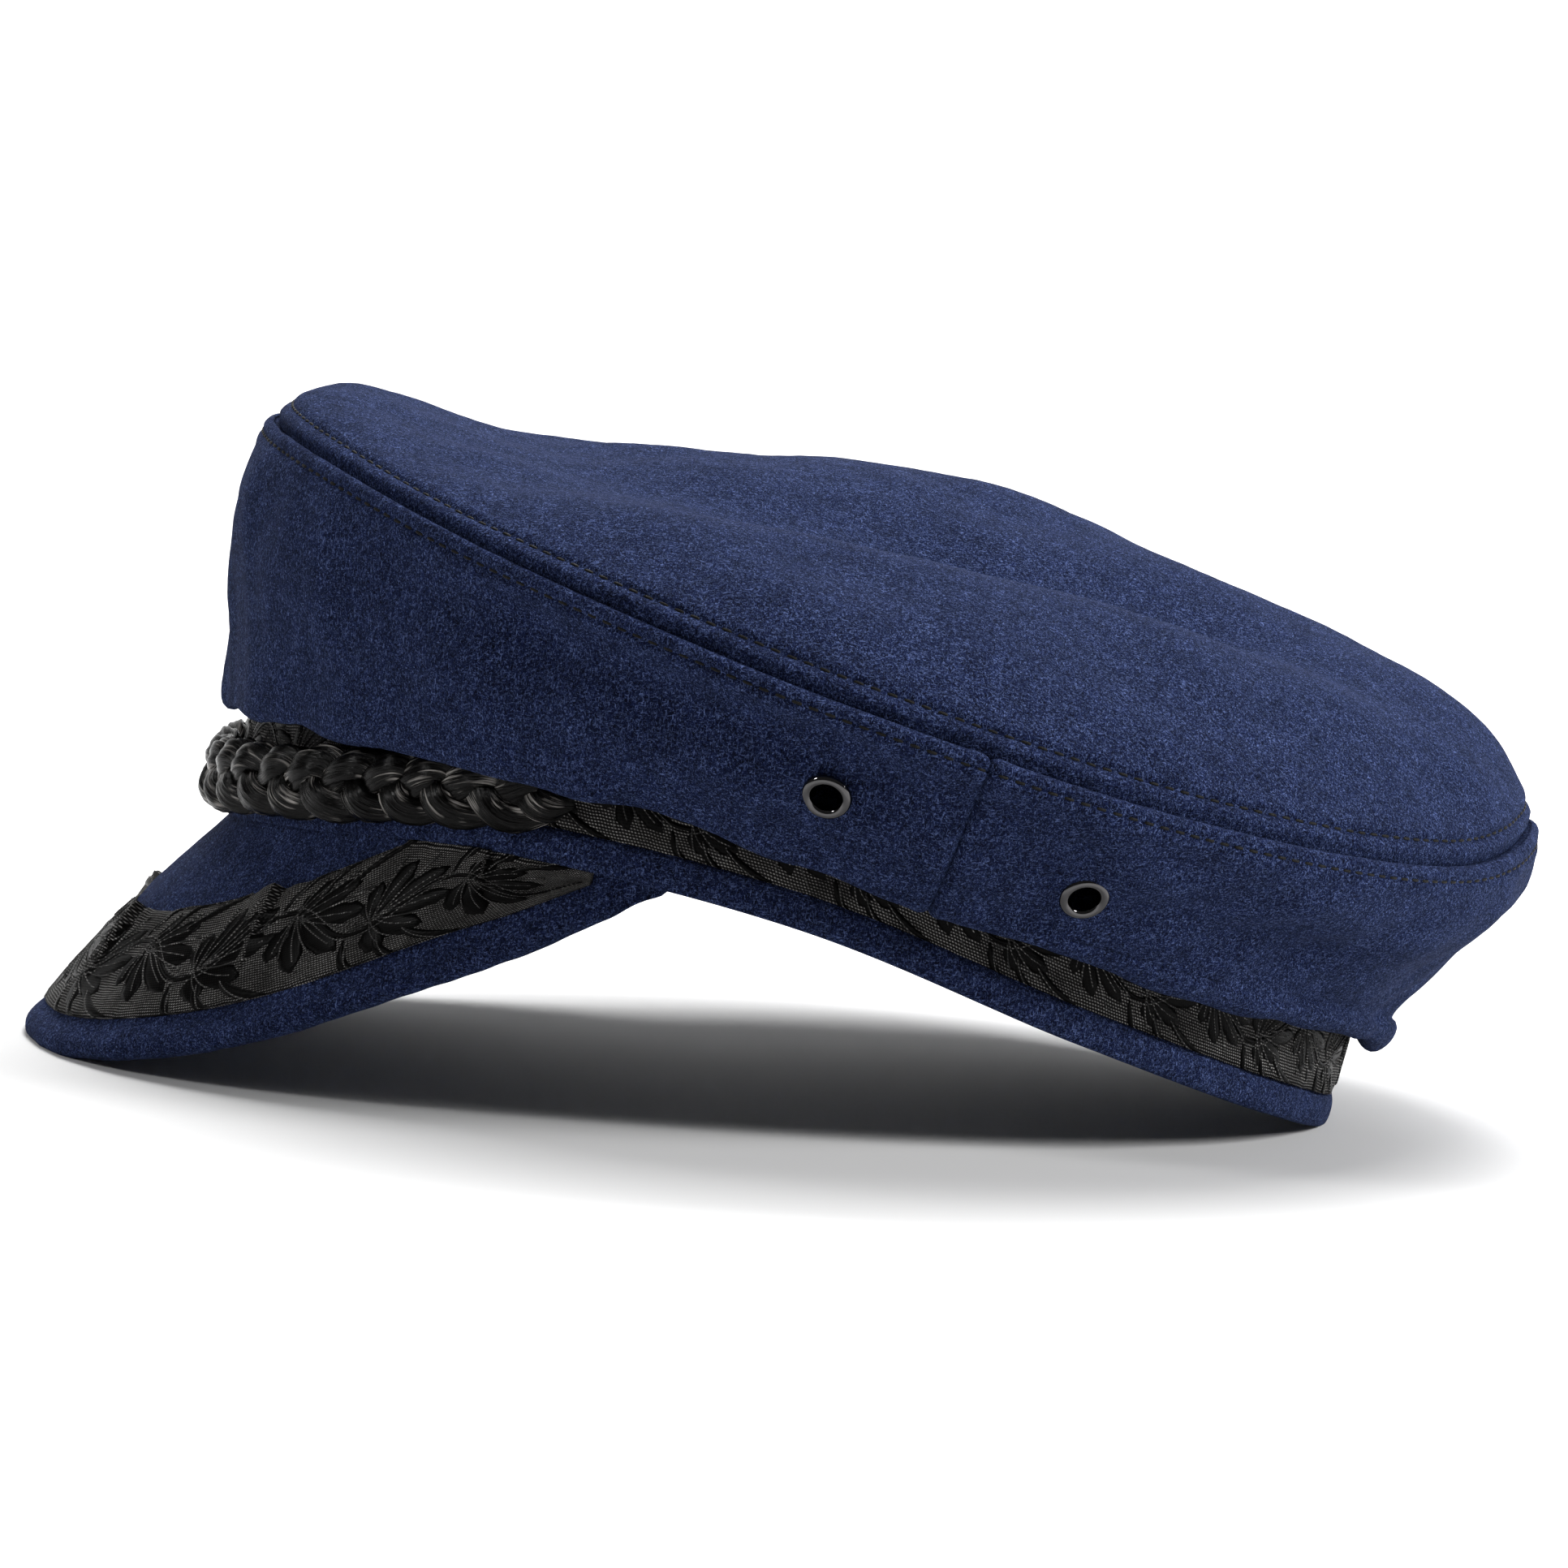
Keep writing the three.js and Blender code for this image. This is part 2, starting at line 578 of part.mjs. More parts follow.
// A piece with what would lie under the floor taken off, as cloth gives under the cap's weight.
function flattened(geometry) {
  const depth = 40;
  const floor = new THREE.BoxGeometry(4 * headWidth, 4 * headLength, depth);
  floor.translate(0, 0, -restHeight - depth / 2);
  floor.rotateX(restTilt);
  return fromManifold(toManifold(geometry).subtract(toManifold(floor)));
}

const cap = new THREE.Group();
function add(name, geometry, material) {
  const mesh = new THREE.Mesh(geometry, material);
  mesh.name = name;
  cap.add(mesh);
  return mesh;
}
add("top_panel", topPanel(), wool);
add("front_wall", withHoles(wall(-sideSeamTurn + seamHalfGap, sideSeamTurn - seamHalfGap), frontEyelets), wool);
add("back_wall", withHoles(wall(sideSeamTurn + seamHalfGap, 360 - sideSeamTurn - seamHalfGap), rearEyelets), wool);
add("head_band", flattened(bandGeometry), wool);
add("band_ribbon", onBand(ribbonSection, 0, 360), ribbonCloth);
add("peak", flattened(peakGeometry), wool);
add("peak_ribbon", peakRibbon(), ribbonCloth);
add("plait", plait(), satinCord);
eyelets.forEach(({ name, place, outward }) => {
  const ring = add(name, eyelet(), blackNickel);
  ring.quaternion.setFromUnitVectors(new THREE.Vector3(0, 1, 0), outward);
  ring.position.copy(place);
});

// The cap laid down, with the frame's origin on the floor under the middle of its bounding box.
cap.rotation.x = -restTilt;
cap.position.z = restHeight;
const laid = new THREE.Group();
laid.add(cap);
const box = new THREE.Box3().setFromObject(laid, true);
laid.position.set(-(box.min.x + box.max.x) / 2, -(box.min.y + box.max.y) / 2, 0);

export default laid;
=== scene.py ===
# A Breton fisherman cap in navy melton wool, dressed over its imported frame. Lengths are in millimetres in the cap's
# own frame, as the cap's maker would give them, and lay() turns them into metres in the row's frame.
import math

import bpy
import numpy as np
from mathutils import Matrix, Vector


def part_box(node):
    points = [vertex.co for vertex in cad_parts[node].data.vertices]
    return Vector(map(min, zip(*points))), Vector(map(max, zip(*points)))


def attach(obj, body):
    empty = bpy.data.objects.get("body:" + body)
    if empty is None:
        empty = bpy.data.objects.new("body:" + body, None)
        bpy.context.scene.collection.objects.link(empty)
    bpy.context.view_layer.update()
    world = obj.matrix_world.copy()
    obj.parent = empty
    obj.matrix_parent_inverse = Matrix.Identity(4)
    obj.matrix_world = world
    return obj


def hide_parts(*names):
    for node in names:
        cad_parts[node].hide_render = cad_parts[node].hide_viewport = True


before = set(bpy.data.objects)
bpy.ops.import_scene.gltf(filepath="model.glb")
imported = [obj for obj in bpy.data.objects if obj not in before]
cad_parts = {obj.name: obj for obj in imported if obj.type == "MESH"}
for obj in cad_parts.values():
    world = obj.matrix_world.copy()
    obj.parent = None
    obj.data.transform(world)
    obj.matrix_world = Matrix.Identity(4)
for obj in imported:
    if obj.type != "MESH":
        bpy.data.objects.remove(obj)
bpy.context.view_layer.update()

# ------------------------------------------------------------
# The studio: a pale paper sweep that runs level under the cap and curves up behind it. A small soft box stands on each
# side, a large one hangs overhead and another lights the paper. The lens is long and a little raised.


def add_node(tree, kind, values=None, **settings):
    """A shader node's outputs. Each of its sockets in values is linked or set."""
    made = tree.nodes.new("ShaderNode" + kind)
    for name, value in settings.items():
        setattr(made, name, value)
    for socket, value in (values or {}).items():
        if isinstance(value, bpy.types.NodeSocket):
            tree.links.new(value, made.inputs[socket])
        else:
            made.inputs[socket].default_value = value
    return made.outputs


def noise(tree, place, scale, detail, roughness=0.5, distortion=0.0):
    values = {"Scale": scale, "Detail": detail, "Roughness": roughness, "Distortion": distortion}
    return add_node(tree, "TexNoise", values if place is None else {"Vector": place, **values})["Fac"]


def remap(tree, value, low, high, to_low=0.0, to_high=1.0):
    values = {"Value": value, "From Min": low, "From Max": high, "To Min": to_low, "To Max": to_high}
    return add_node(tree, "MapRange", values)["Result"]


def new_material(name, color, roughness, **fixed):
    made = bpy.data.materials.new(name)
    made.use_nodes = True
    shader = made.node_tree.nodes["Principled BSDF"]
    shader.inputs["Base Color"].default_value = (*color[:3], 1)
    shader.inputs["Roughness"].default_value = roughness
    for socket, value in fixed.items():
        shader.inputs[socket.replace("_", " ")].default_value = value
    return made, made.node_tree, shader.inputs


def mesh_object(name, points, faces, material, smooth=True):
    """An object from points and faces, which are all turned over if they enclose their solid from the wrong side."""
    points = np.asarray(points, float)
    fans = [(face[0], face[k], face[k + 1]) for face in faces for k in range(1, len(face) - 1)]
    a, b, c = np.moveaxis(points[np.array(fans)] - points.mean(0), 1, 0)
    if np.sum(a * np.cross(b, c)) < 0:
        faces = [tuple(reversed(face)) for face in faces]
    mesh = bpy.data.meshes.new(name)
    mesh.from_pydata(points.tolist(), [], faces)
    mesh.validate()
    mesh.materials.append(material)
    mesh.polygons.foreach_set("use_smooth", [smooth] * len(mesh.polygons))
    mesh.update()
    made = bpy.data.objects.new(name, mesh)
    bpy.context.scene.collection.objects.link(made)
    return made


PAPER_HALF_WIDTH, PAPER_FRONT, PAPER_BACK, PAPER_CURVE, PAPER_TOP = 3.2, 2.2, 1.1, 0.9, 2.6  # metres

paper_material, paper_tree, paper_shader = new_material("paper_sweep", (0.71, 0.71, 0.71), 0.9)
paper_tone = remap(paper_tree, noise(paper_tree, None, 90.0, 3.0), 0.0, 1.0, 0.86, 0.94)
paper_tree.links.new(paper_tone, paper_shader["Roughness"])
paper_line = [(PAPER_FRONT, 0.0), (0.0, 0.0), (-PAPER_BACK, 0.0)]
for turned in np.linspace(0, math.pi / 2, 25)[1:]:
    paper_line.append((-PAPER_BACK - PAPER_CURVE * math.sin(turned), PAPER_CURVE * (1 - math.cos(turned))))
paper_line.append((-PAPER_BACK - PAPER_CURVE, PAPER_TOP))
paper_points = [(x, side * PAPER_HALF_WIDTH, z) for x, z in paper_line for side in (-1, 1)]
paper_faces = [(2 * i, 2 * i + 1, 2 * i + 3, 2 * i + 2) for i in range(len(paper_line) - 1)]
paper = mesh_object("paper_sweep", paper_points, paper_faces, paper_material)

sky = bpy.data.worlds.new("studio")
bpy.context.scene.world = sky
sky.use_nodes = True
sky.node_tree.nodes["Background"].inputs["Color"].default_value = (1.0, 1.0, 1.0, 1)
sky.node_tree.nodes["Background"].inputs["Strength"].default_value = 0.08

SOFT_BOXES = [
    # place, aim, watts, width, height
    ((0.6, -1.35, 1.0), (0, 0, 0.05), 8.5, 0.2, 0.35),
    ((0.5, 1.45, 0.85), (0, 0, 0.05), 31.0, 0.35, 0.6),
    ((-0.35, 0.2, 1.45), (0, 0, 0.05), 22.5, 1.1, 1.2),
    ((-0.7, 0.0, 1.3), (-1.9, 0, 0.2), 34.0, 0.6, 1.6),
]
for number, (place, aim, watts, width, height) in enumerate(SOFT_BOXES):
    lamp = bpy.data.lights.new(f"soft_box_{number}", "AREA")
    lamp.shape, lamp.size, lamp.size_y, lamp.energy = "RECTANGLE", width, height, watts
    box = bpy.data.objects.new(lamp.name, lamp)
    box.location = place
    box.rotation_euler = (Vector(aim) - Vector(place)).to_track_quat("-Z", "Y").to_euler()
    bpy.context.scene.collection.objects.link(box)

CAMERA_ELEVATION, CAMERA_ROLL = math.radians(6.5), math.radians(4.0)
CAMERA_DISTANCE, CAMERA_TARGET = 1.4, Vector((0.0, -0.00125, 0.0538))
camera = bpy.data.objects.new("camera", bpy.data.cameras.new("camera"))
camera.data.sensor_width, camera.data.lens = 36.0, 177.6
camera_back = Vector((math.cos(CAMERA_ELEVATION), 0, math.sin(CAMERA_ELEVATION)))
camera_turn = (-camera_back).to_track_quat("-Z", "Y").to_matrix().to_4x4() @ Matrix.Rotation(CAMERA_ROLL, 4, "Z")
camera.matrix_world = Matrix.Translation(CAMERA_TARGET + camera_back * CAMERA_DISTANCE) @ camera_turn
bpy.context.scene.collection.objects.link(camera)
bpy.context.scene.camera = camera
bpy.context.scene.view_settings.view_transform = "Standard"

# ------------------------------------------------------------
# The wool: heavy navy melton, fulled and brushed until a short nap of fibres hides the weave. All the crown, the band
# and the peak are cut from it. Its nap is a shader group: fibres laid three ways, over tufts and larger patches.

WOOL_DARK = (0.0010, 0.0014, 0.0058, 1)
WOOL_NAVY = (0.0070, 0.0118, 0.0450, 1)
WOOL_FLECK = (0.095, 0.135, 0.300, 1)
FIBRES = [
    # how the fibres are turned, and how far they are drawn out
    ((0.5, 0.2, 0.3), (1, 1, 0.3)),
    ((-0.6, 0.5, -0.4), (0.35, 1, 0.9)),
    ((0.9, -0.3, 0.8), (1, 0.3, 1)),
]


def new_group(name, inputs, outputs):
    """An empty shader group, the sockets that it is given and the sockets that it gives."""
    group = bpy.data.node_groups.new(name, "ShaderNodeTree")
    for in_out, sockets in (("INPUT", inputs), ("OUTPUT", outputs)):
        for socket, kind in sockets.items():
            group.interface.new_socket(socket, in_out=in_out, socket_type="NodeSocket" + kind)
    return group, group.nodes.new("NodeGroupInput").outputs, group.nodes.new("NodeGroupOutput").inputs


def color_mix(tree, factor, a, b, mode="MIX"):
    return add_node(tree, "Mix", {0: factor, 6: a, 7: b}, data_type="RGBA", blend_type=mode)[2]


def calculate(tree, operation, *values):
    return add_node(tree, "Math", dict(enumerate(values)), operation=operation)[0]


def set_looks(tree, shader, color, height, strength, depth):
    """Links a colour to a material's shader, and a bump of some strength and depth in metres."""
    bump = add_node(tree, "Bump", {"Height": height, "Strength": strength, "Distance": depth})
    tree.links.new(color, shader["Base Color"])
    tree.links.new(bump["Normal"], shader["Normal"])


nap, nap_given, nap_gives = new_group(
    "melton_nap",
    {"Place": "Vector", "Dark": "Color", "Navy": "Color", "Fleck": "Color"},
    {"Color": "Color", "Height": "Float"},
)
fibres = None
for rotation, stretch in FIBRES:
    drawn = add_node(nap, "Mapping", {"Vector": nap_given["Place"], "Rotation": rotation, "Scale": stretch})["Vector"]
    laid = noise(nap, drawn, 3400.0, 2.0, 0.6, 0.8)
    fibres = laid if fibres is None else calculate(nap, "MAXIMUM", fibres, laid)
tufts = noise(nap, nap_given["Place"], 1800.0, 3.0, 0.7, 0.6)
patches = noise(nap, nap_given["Place"], 230.0, 4.0, 0.6)
ground = color_mix(nap, remap(nap, tufts, 0.38, 0.62), nap_given["Dark"], nap_given["Navy"])
flecked = color_mix(nap, remap(nap, fibres, 0.57, 0.74), ground, nap_given["Fleck"])
shaded = color_mix(nap, 1.0, flecked, remap(nap, patches, 0.3, 0.7, 0.72, 1.28), "MULTIPLY")
nap.links.new(shaded, nap_gives["Color"])
nap.links.new(
    calculate(nap, "MULTIPLY_ADD", fibres, 0.7, calculate(nap, "MULTIPLY", tufts, 0.9)), nap_gives["Height"]
)

wool, wool_tree, wool_shader = new_material("navy_melton", WOOL_NAVY, 0.92, Sheen_Weight=0.06, Specular_IOR_Level=0.04)
wool_shader["Sheen Roughness"].default_value = 0.42
wool_shader["Sheen Tint"].default_value = (0.25, 0.38, 0.85, 1)
wool_place = add_node(wool_tree, "TexCoord")["Object"]
wool_nap = add_node(
    wool_tree,
    "Group",
    {"Place": wool_place, "Dark": WOOL_DARK, "Navy": WOOL_NAVY, "Fleck": WOOL_FLECK},
    node_tree=nap,
)
set_looks(wool_tree, wool_shader, wool_nap["Color"], wool_nap["Height"], 0.9, 0.0006)

# ------------------------------------------------------------
# The crown's front and back walls: two pieces of melton, seamed together at each side behind the ears, that pouch
# over the band and are sewn to the top panel. Both seams are pressed open, and a row of topstitching holds each side.

HEAD_LENGTH, HEAD_WIDTH = 199.0, 166.0
BAND_THICKNESS, BAND_HEIGHT, BAND_ARCH = 3.0, 24.0, 18.0
CLOTH, CROWN_HEIGHT, CROWN_FLARE, CROWN_POUCH = 2.0, 66.0, 22.0, 11.2
SEAM_GROOVE, SEWN_GAP = 1.2, 0.3
SIDE_SEAM_TURN = 100.5
LEAN, LIFT, SHIFT_BACK = 0.20017949, 21.5457, -0.2525  # as the cap rests: radians and millimetres
band_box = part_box("head_band")
SHIFT_LEFT = (band_box[0].x + band_box[1].x) * 500
MM_PER_DEGREE = math.radians(108)  # round the cap, 108 mm from its middle

TURNS = [0, 30, 60, 90, 120, 150, 180]
BAND_EDGE = [0, 0.32, 0.85, 0.97, 0.54, 0.14, -0.1]
WALL = {
    "pouch": [0.45, 0.58, 0.88, 1.09, 0.89, 0.66, 0.72],
    "inner": [0.13, 0.16, 0.29, 0.2, 0.14, 0.13, 0.13],
    "fold": [0.23, 0.27, 0.36, 0.32, 0.33, 0.29, 0.24],
    "lobe": [0.28, 0.33, 0.42, 0.39, 0.42, 0.39, 0.33],
    "crease": [0.33, 0.38, 0.46, 0.48, 0.45, 0.36, 0.31],
    "belly": [0.56, 0.63, 0.76, 0.9, 0.93, 0.94, 0.93],
    "seam": [0.51, 0.6, 0.86, 1.06, 1.08, 1.06, 1.01],
    "rise": [1.07, 1.055, 0.98, 0.89, 0.825, 0.83, 0.92],
}
LOBE_RISE, CREASE_RISE, BELLY_RISE = 0.1, 0.19, 0.66
WALL_DENTS = [
    # turn, up, wide, tall, depth
    (62, 0.72, 20, 0.22, 0.16),
    (135, 0.45, 24, 0.14, 0.12),
    (-70, 0.6, 24, 0.25, 0.14),
    (-140, 0.4, 20, 0.16, 0.12),
]
STITCH_ROW, CREASE_DEPTH, CREASE_WIDTH = 4.0, 1.35, 0.5
SEAM_FORMS = [
    # distance from the seam, width, height and how much the height ripples: a roll, the row of stitches, a soft swell
    (1.9, 1.2, 0.42, 0.14),
    (STITCH_ROW, 0.6, -0.42, -0.12),
    (5.8, 1.3, 0.2, 0.0),
]
SIDE_MIDDLE, SIDE_SPREAD = 84, 24
SIDE_FORMS = [
    # distance below the top seam, width and height: a hollow and a roll at the middle of each side
    (12, 6, -2.4),
    (24, 7, 1.2),
]
SIDE_CREASE_WIDTH, SIDE_ROLL, EDGE_TURN = 0.45, (1.7, 1.1, 0.22), 0.9
# Waves in the cloth as their length, height and seed.
SEAM_RIPPLE, FELT_GRAIN = (14, 1, 3), (3.4, 0.045, 13)
WALL_SWELLS = [(34, 1.15, 11), (13, 0.42, 12)]


def spline(a, b, c, d, s):
    """A share s of the way from b to c, on a smooth line that comes from a and goes on to d."""
    return b + 0.5 * s * (c - a + s * (2 * a - 5 * b + 4 * c - d + s * (3 * (b - c) + d - a)))


def at_turn(turns, values, turn):
    """A table's value at any turn round the cap: smooth between the rows, and the same on both sides."""
    turns, values = np.asarray(turns, float), np.asarray(values, float)
    folded = np.abs((np.asarray(turn, float) + 180) % 360 - 180)
    last = len(turns) - 1
    i = np.clip(np.searchsorted(turns, folded) - 1, 0, last - 1)

    def near(k):
        return values[np.where(k < 0, -k, np.where(k > last, 2 * last - k, k))]

    share = np.minimum(1, (folded - turns[i]) / (turns[i + 1] - turns[i]))
    return spline(near(i - 1), near(i), near(i + 1), near(i + 2), share)


def outward_at(turn):
    """The level direction away from the band at a turn."""
    a = np.radians(turn)
    x, y = np.sin(a) / (HEAD_WIDTH / 2 + BAND_THICKNESS), -np.cos(a) / (HEAD_LENGTH / 2 + BAND_THICKNESS)
    size = np.hypot(x, y)
    return np.stack([x / size, y / size, np.zeros_like(x)], -1)


def from_band(turn, out, z):
    """Points that stand out from the band's outer face by a distance, at a turn and a height."""
    turn, out, z = np.broadcast_arrays(np.asarray(turn, float), out, z)
    a, normal = np.radians(turn), outward_at(turn)
    x = (HEAD_WIDTH / 2 + BAND_THICKNESS) * np.sin(a) + normal[..., 0] * out
    y = -(HEAD_LENGTH / 2 + BAND_THICKNESS) * np.cos(a) + normal[..., 1] * out
    return np.stack([x, y, z], -1)


def band_bottom(turn):
    return BAND_ARCH * at_turn(TURNS, BAND_EDGE, turn)


def lay(points):
    """From the cap's own frame to the row's: leaned back, lifted onto the table and centred, in metres."""
    x, y, z = np.moveaxis(np.asarray(points, float), -1, 0)
    c, s = math.cos(LEAN), math.sin(LEAN)
    laid = np.stack([x + SHIFT_LEFT, y * c + z * s + SHIFT_BACK, z * c - y * s + LIFT], -1)
    laid[..., 2] = np.maximum(laid[..., 2], 0.0)
    return laid / 1000


def unit(vectors):
    return vectors / np.maximum(np.linalg.norm(vectors, axis=-1, keepdims=True), 1e-9)


def smooth_step(x):
    x = np.clip(x, 0, 1)
    return x * x * (3 - 2 * x)


def hump(x, middle, wide, height=1):
    """A bell shape with a height at its middle."""
    return height * np.exp(-(((x - middle) / wide) ** 2))


def ripples(points, *waves, count=16):
    """Soft random swells: the sum of some waves, each with a length, a height and a seed."""
    total = 0
    for length, height, seed in waves:
        draw = np.random.default_rng(seed)
        ways = unit(draw.normal(size=(count, 3))) * (2 * math.pi / (length * draw.uniform(0.7, 1.5, (count, 1))))
        phases = draw.uniform(0, 2 * math.pi, count)
        total = total + height * np.sin(np.tensordot(points, ways.T, 1) + phases).sum(-1) / math.sqrt(2 * count)
    return total


def wall_line(turn, samples):
    """The wall's middle line at each turn, as (out, z): from above the band down to the fold, then out and up."""
    level = {name: CROWN_FLARE * at_turn(TURNS, WALL[name], turn) for name in WALL}
    top = CROWN_HEIGHT * at_turn(TURNS, WALL["rise"], turn)
    fold = band_bottom(turn) + BAND_HEIGHT - CROWN_POUCH * at_turn(TURNS, WALL["pouch"], turn)
    tall = top - fold
    start = band_bottom(turn) + BAND_HEIGHT + 2 * SEWN_GAP + CLOTH / 2
    inside = level["inner"]
    marks = [
        (np.full_like(turn, -BAND_THICKNESS), start),
        (np.full_like(turn, -BAND_THICKNESS / 4), start + CLOTH),
        (inside + 0.1, start - CLOTH / 2),
        (inside, fold + 1.6 * CLOTH),
        (level["fold"], fold + CLOTH / 2),
        (level["lobe"], fold + tall * LOBE_RISE),
        (level["crease"], fold + tall * CREASE_RISE),
        (level["belly"], fold + tall * BELLY_RISE),
        (level["seam"] + SEAM_GROOVE / 2, top - 1.5 * CLOTH),
        (level["seam"] - SEAM_GROOVE, top - SEWN_GAP),
    ]
    marks = np.stack([np.stack(mark, -1) for mark in marks], 1)
    last = marks.shape[1] - 1
    i = np.minimum(samples.astype(int), last - 1)
    near = [marks[:, k] for k in (np.maximum(i - 1, 0), i, i + 1, np.minimum(i + 2, last))]
    line = spline(*near, (samples - i)[:, None])
    up = (line[..., 1] - fold[:, None]) / tall[:, None]
    for at, height, wide, high, depth in WALL_DENTS:
        across = ((turn - at + 180) % 360 - 180)[:, None]
        dent = CROWN_FLARE * depth * hump(across, 0, wide) * hump(up, height, high)
        line[..., 0] -= np.where(line[..., 0] > inside[:, None] + CLOTH, dent, 0)
    return line


def seam_edge(turn):
    """Where the top panel's edge lies, as its distance out from the band and its height."""
    out = CROWN_FLARE * at_turn(TURNS, WALL["seam"], turn) - SEAM_GROOVE
    return out, CROWN_HEIGHT * at_turn(TURNS, WALL["rise"], turn)


def outer_line(turn):
    """The wall's outer face at each turn as dense (out, z) points, and the point where it meets the top panel."""
    line = wall_line(turn, np.linspace(0, 9, 541))
    along = unit(np.gradient(line, axis=1))
    face = line + np.stack([along[..., 1], -along[..., 0]], -1) * CLOTH / 2
    out, z = seam_edge(turn)
    corner = (face[:, -1] + np.stack([out, z + CLOTH / 2], -1)) / 2
    return np.concatenate([face, corner[:, None]], 1), corner


def seam_relief(distance, ripple):
    """How far the cloth stands out near the top seam: a deep crease, a soft roll, and a dip along the stitches."""
    forms = [hump(distance, at, wide, height + swell * ripple) for at, wide, height, swell in SEAM_FORMS]
    return sum(forms) - CREASE_DEPTH * np.exp(-distance / CREASE_WIDTH)


NEAR_SEAM = np.array(
    [0, 0.12, 0.25, 0.4, 0.6, 0.85, 1.15, 1.5, 1.9, 2.3, 2.7, 3.05, 3.35, 3.6, 3.8]
    + [4.0, 4.2, 4.4, 4.65, 5.0, 5.4, 5.9, 6.5]
)
STITCH_COLUMN = int(np.argmin(np.abs(NEAR_SEAM - STITCH_ROW)))


def travelled(path):
    """How far along a path each of its points lies."""
    return np.concatenate([[0], np.cumsum(np.linalg.norm(np.diff(path, axis=0), axis=-1))])


def points_at(spots, reached, path):
    return np.stack([np.interp(spots, reached, path[:, k]) for k in range(path.shape[1])], -1)


def resampled(dense, columns):
    """Each dense line, from its far end at the seam, at fixed distances near it and evenly over the rest."""
    made, places = [], []
    for line in dense:
        reached = travelled(line)
        places.append(np.concatenate([NEAR_SEAM, np.linspace(NEAR_SEAM[-1], reached[-1], columns + 1)[1:]]))
        made.append(points_at(places[-1], reached, line))
    return np.array(made), np.array(places)


def face_normals(grid, towards, column, ring=False):
    """The normal at each point of a grid, [turn, column], on the side where one column faces towards a direction."""
    padded = np.concatenate([grid[-1:], grid, grid[:1]]) if ring else grid
    around = np.gradient(padded, axis=0)[1:-1] if ring else np.gradient(padded, axis=0)
    normals = unit(np.cross(around, np.gradient(grid, axis=1)))
    return normals * np.sign(np.mean(np.sum(normals[:, column] * towards, -1)))


def seamed_normals(normals, turns, places):
    """Normals that turn up and out where the cloth meets the top seam."""
    edge = unit(outward_at(turns) + np.array([0, 0, 1.0]))[:, None]
    share = smooth_step(places / EDGE_TURN)[..., None]
    return unit(edge * (1 - share) + normals * share)


def inner_face(points, normals, step):
    """The cloth's inner face, and the outer columns that it lies behind: a few at the seam, then one at each step."""
    total = points.shape[1]
    behind = np.unique(np.concatenate([[0, 8, 15], np.arange(len(NEAR_SEAM) - 1, total, step), [total - 1]]))
    depth = CLOTH * np.where(behind == 0, 1.2, 0.95)
    return points[:, behind] - normals[:, behind] * depth[:, None], behind


def grid_faces(rows, columns, first=0, ring=False, closed=False, flip=False):
    """Faces over a grid of points, [row, column], whose rows join as a ring and whose columns close where asked."""
    i, j = np.meshgrid(range(rows - (not ring)), range(columns - (not closed)), indexing="ij")
    k, m = (i + 1) % rows, (j + 1) % columns
    corners = ((i, j), (k, j), (k, m), (i, m)) if flip else ((i, j), (i, m), (k, m), (k, j))
    return np.stack([first + a * columns + b for a, b in corners], -1).reshape(-1, 4).tolist()


def wall_solid(name, outer, inner, behind):
    """A closed wall from a fine outer face and a coarser inner one."""
    turns, fine = outer.shape[:2]
    coarse, base = len(behind), turns * fine
    faces = grid_faces(turns, fine) + grid_faces(turns, coarse, base, flip=True)
    for i in range(turns - 1):
        a, b = i * fine, (i + 1) * fine
        c, d = base + i * coarse, base + (i + 1) * coarse
        faces += [(a, b, d, c), (b - 1, d - 1, d + coarse - 1, b + fine - 1)]
    for i, flip in ((0, False), (turns - 1, True)):
        for j in range(coarse - 1):
            face = [i * fine + c for c in range(behind[j], behind[j + 1] + 1)]
            face += [base + i * coarse + j + 1, base + i * coarse + j]
            faces.append(tuple(face if flip else reversed(face)))
    return mesh_object(name, np.concatenate([outer.reshape(-1, 3), inner.reshape(-1, 3)]), faces, wool)


WALL_COLUMNS, WALL_STEP = 74, 0.62
FINE_ENDS = np.array([0, 0.07, 0.15, 0.25, 0.38, 0.55, 0.78, 1.05, 1.4, 1.85])


def wall_turns(start, end):
    middle = np.linspace(start + FINE_ENDS[-1], end - FINE_ENDS[-1], int((end - start) / WALL_STEP))
    return np.concatenate([start + FINE_ENDS[:-1], middle, end - FINE_ENDS[-2::-1]])


def wall_relief(turns, points, places):
    """How far the wall stands out: its seams, soft swells, and a hollow over a roll at the middle of each side."""
    relief = seam_relief(places, ripples(points, SEAM_RIPPLE))
    from_side = np.abs(np.abs((turns + 180) % 360 - 180) - SIDE_SEAM_TURN)[:, None] * MM_PER_DEGREE
    relief = relief - np.exp(-from_side / SIDE_CREASE_WIDTH) + hump(from_side, *SIDE_ROLL)
    relief = relief + smooth_step((places - 3) / 10) * ripples(points, *WALL_SWELLS)
    beside = hump(np.abs(turns), SIDE_MIDDLE, SIDE_SPREAD)[:, None]
    relief = relief + beside * sum(hump(places, *form) for form in SIDE_FORMS)
    return relief + ripples(points, FELT_GRAIN)


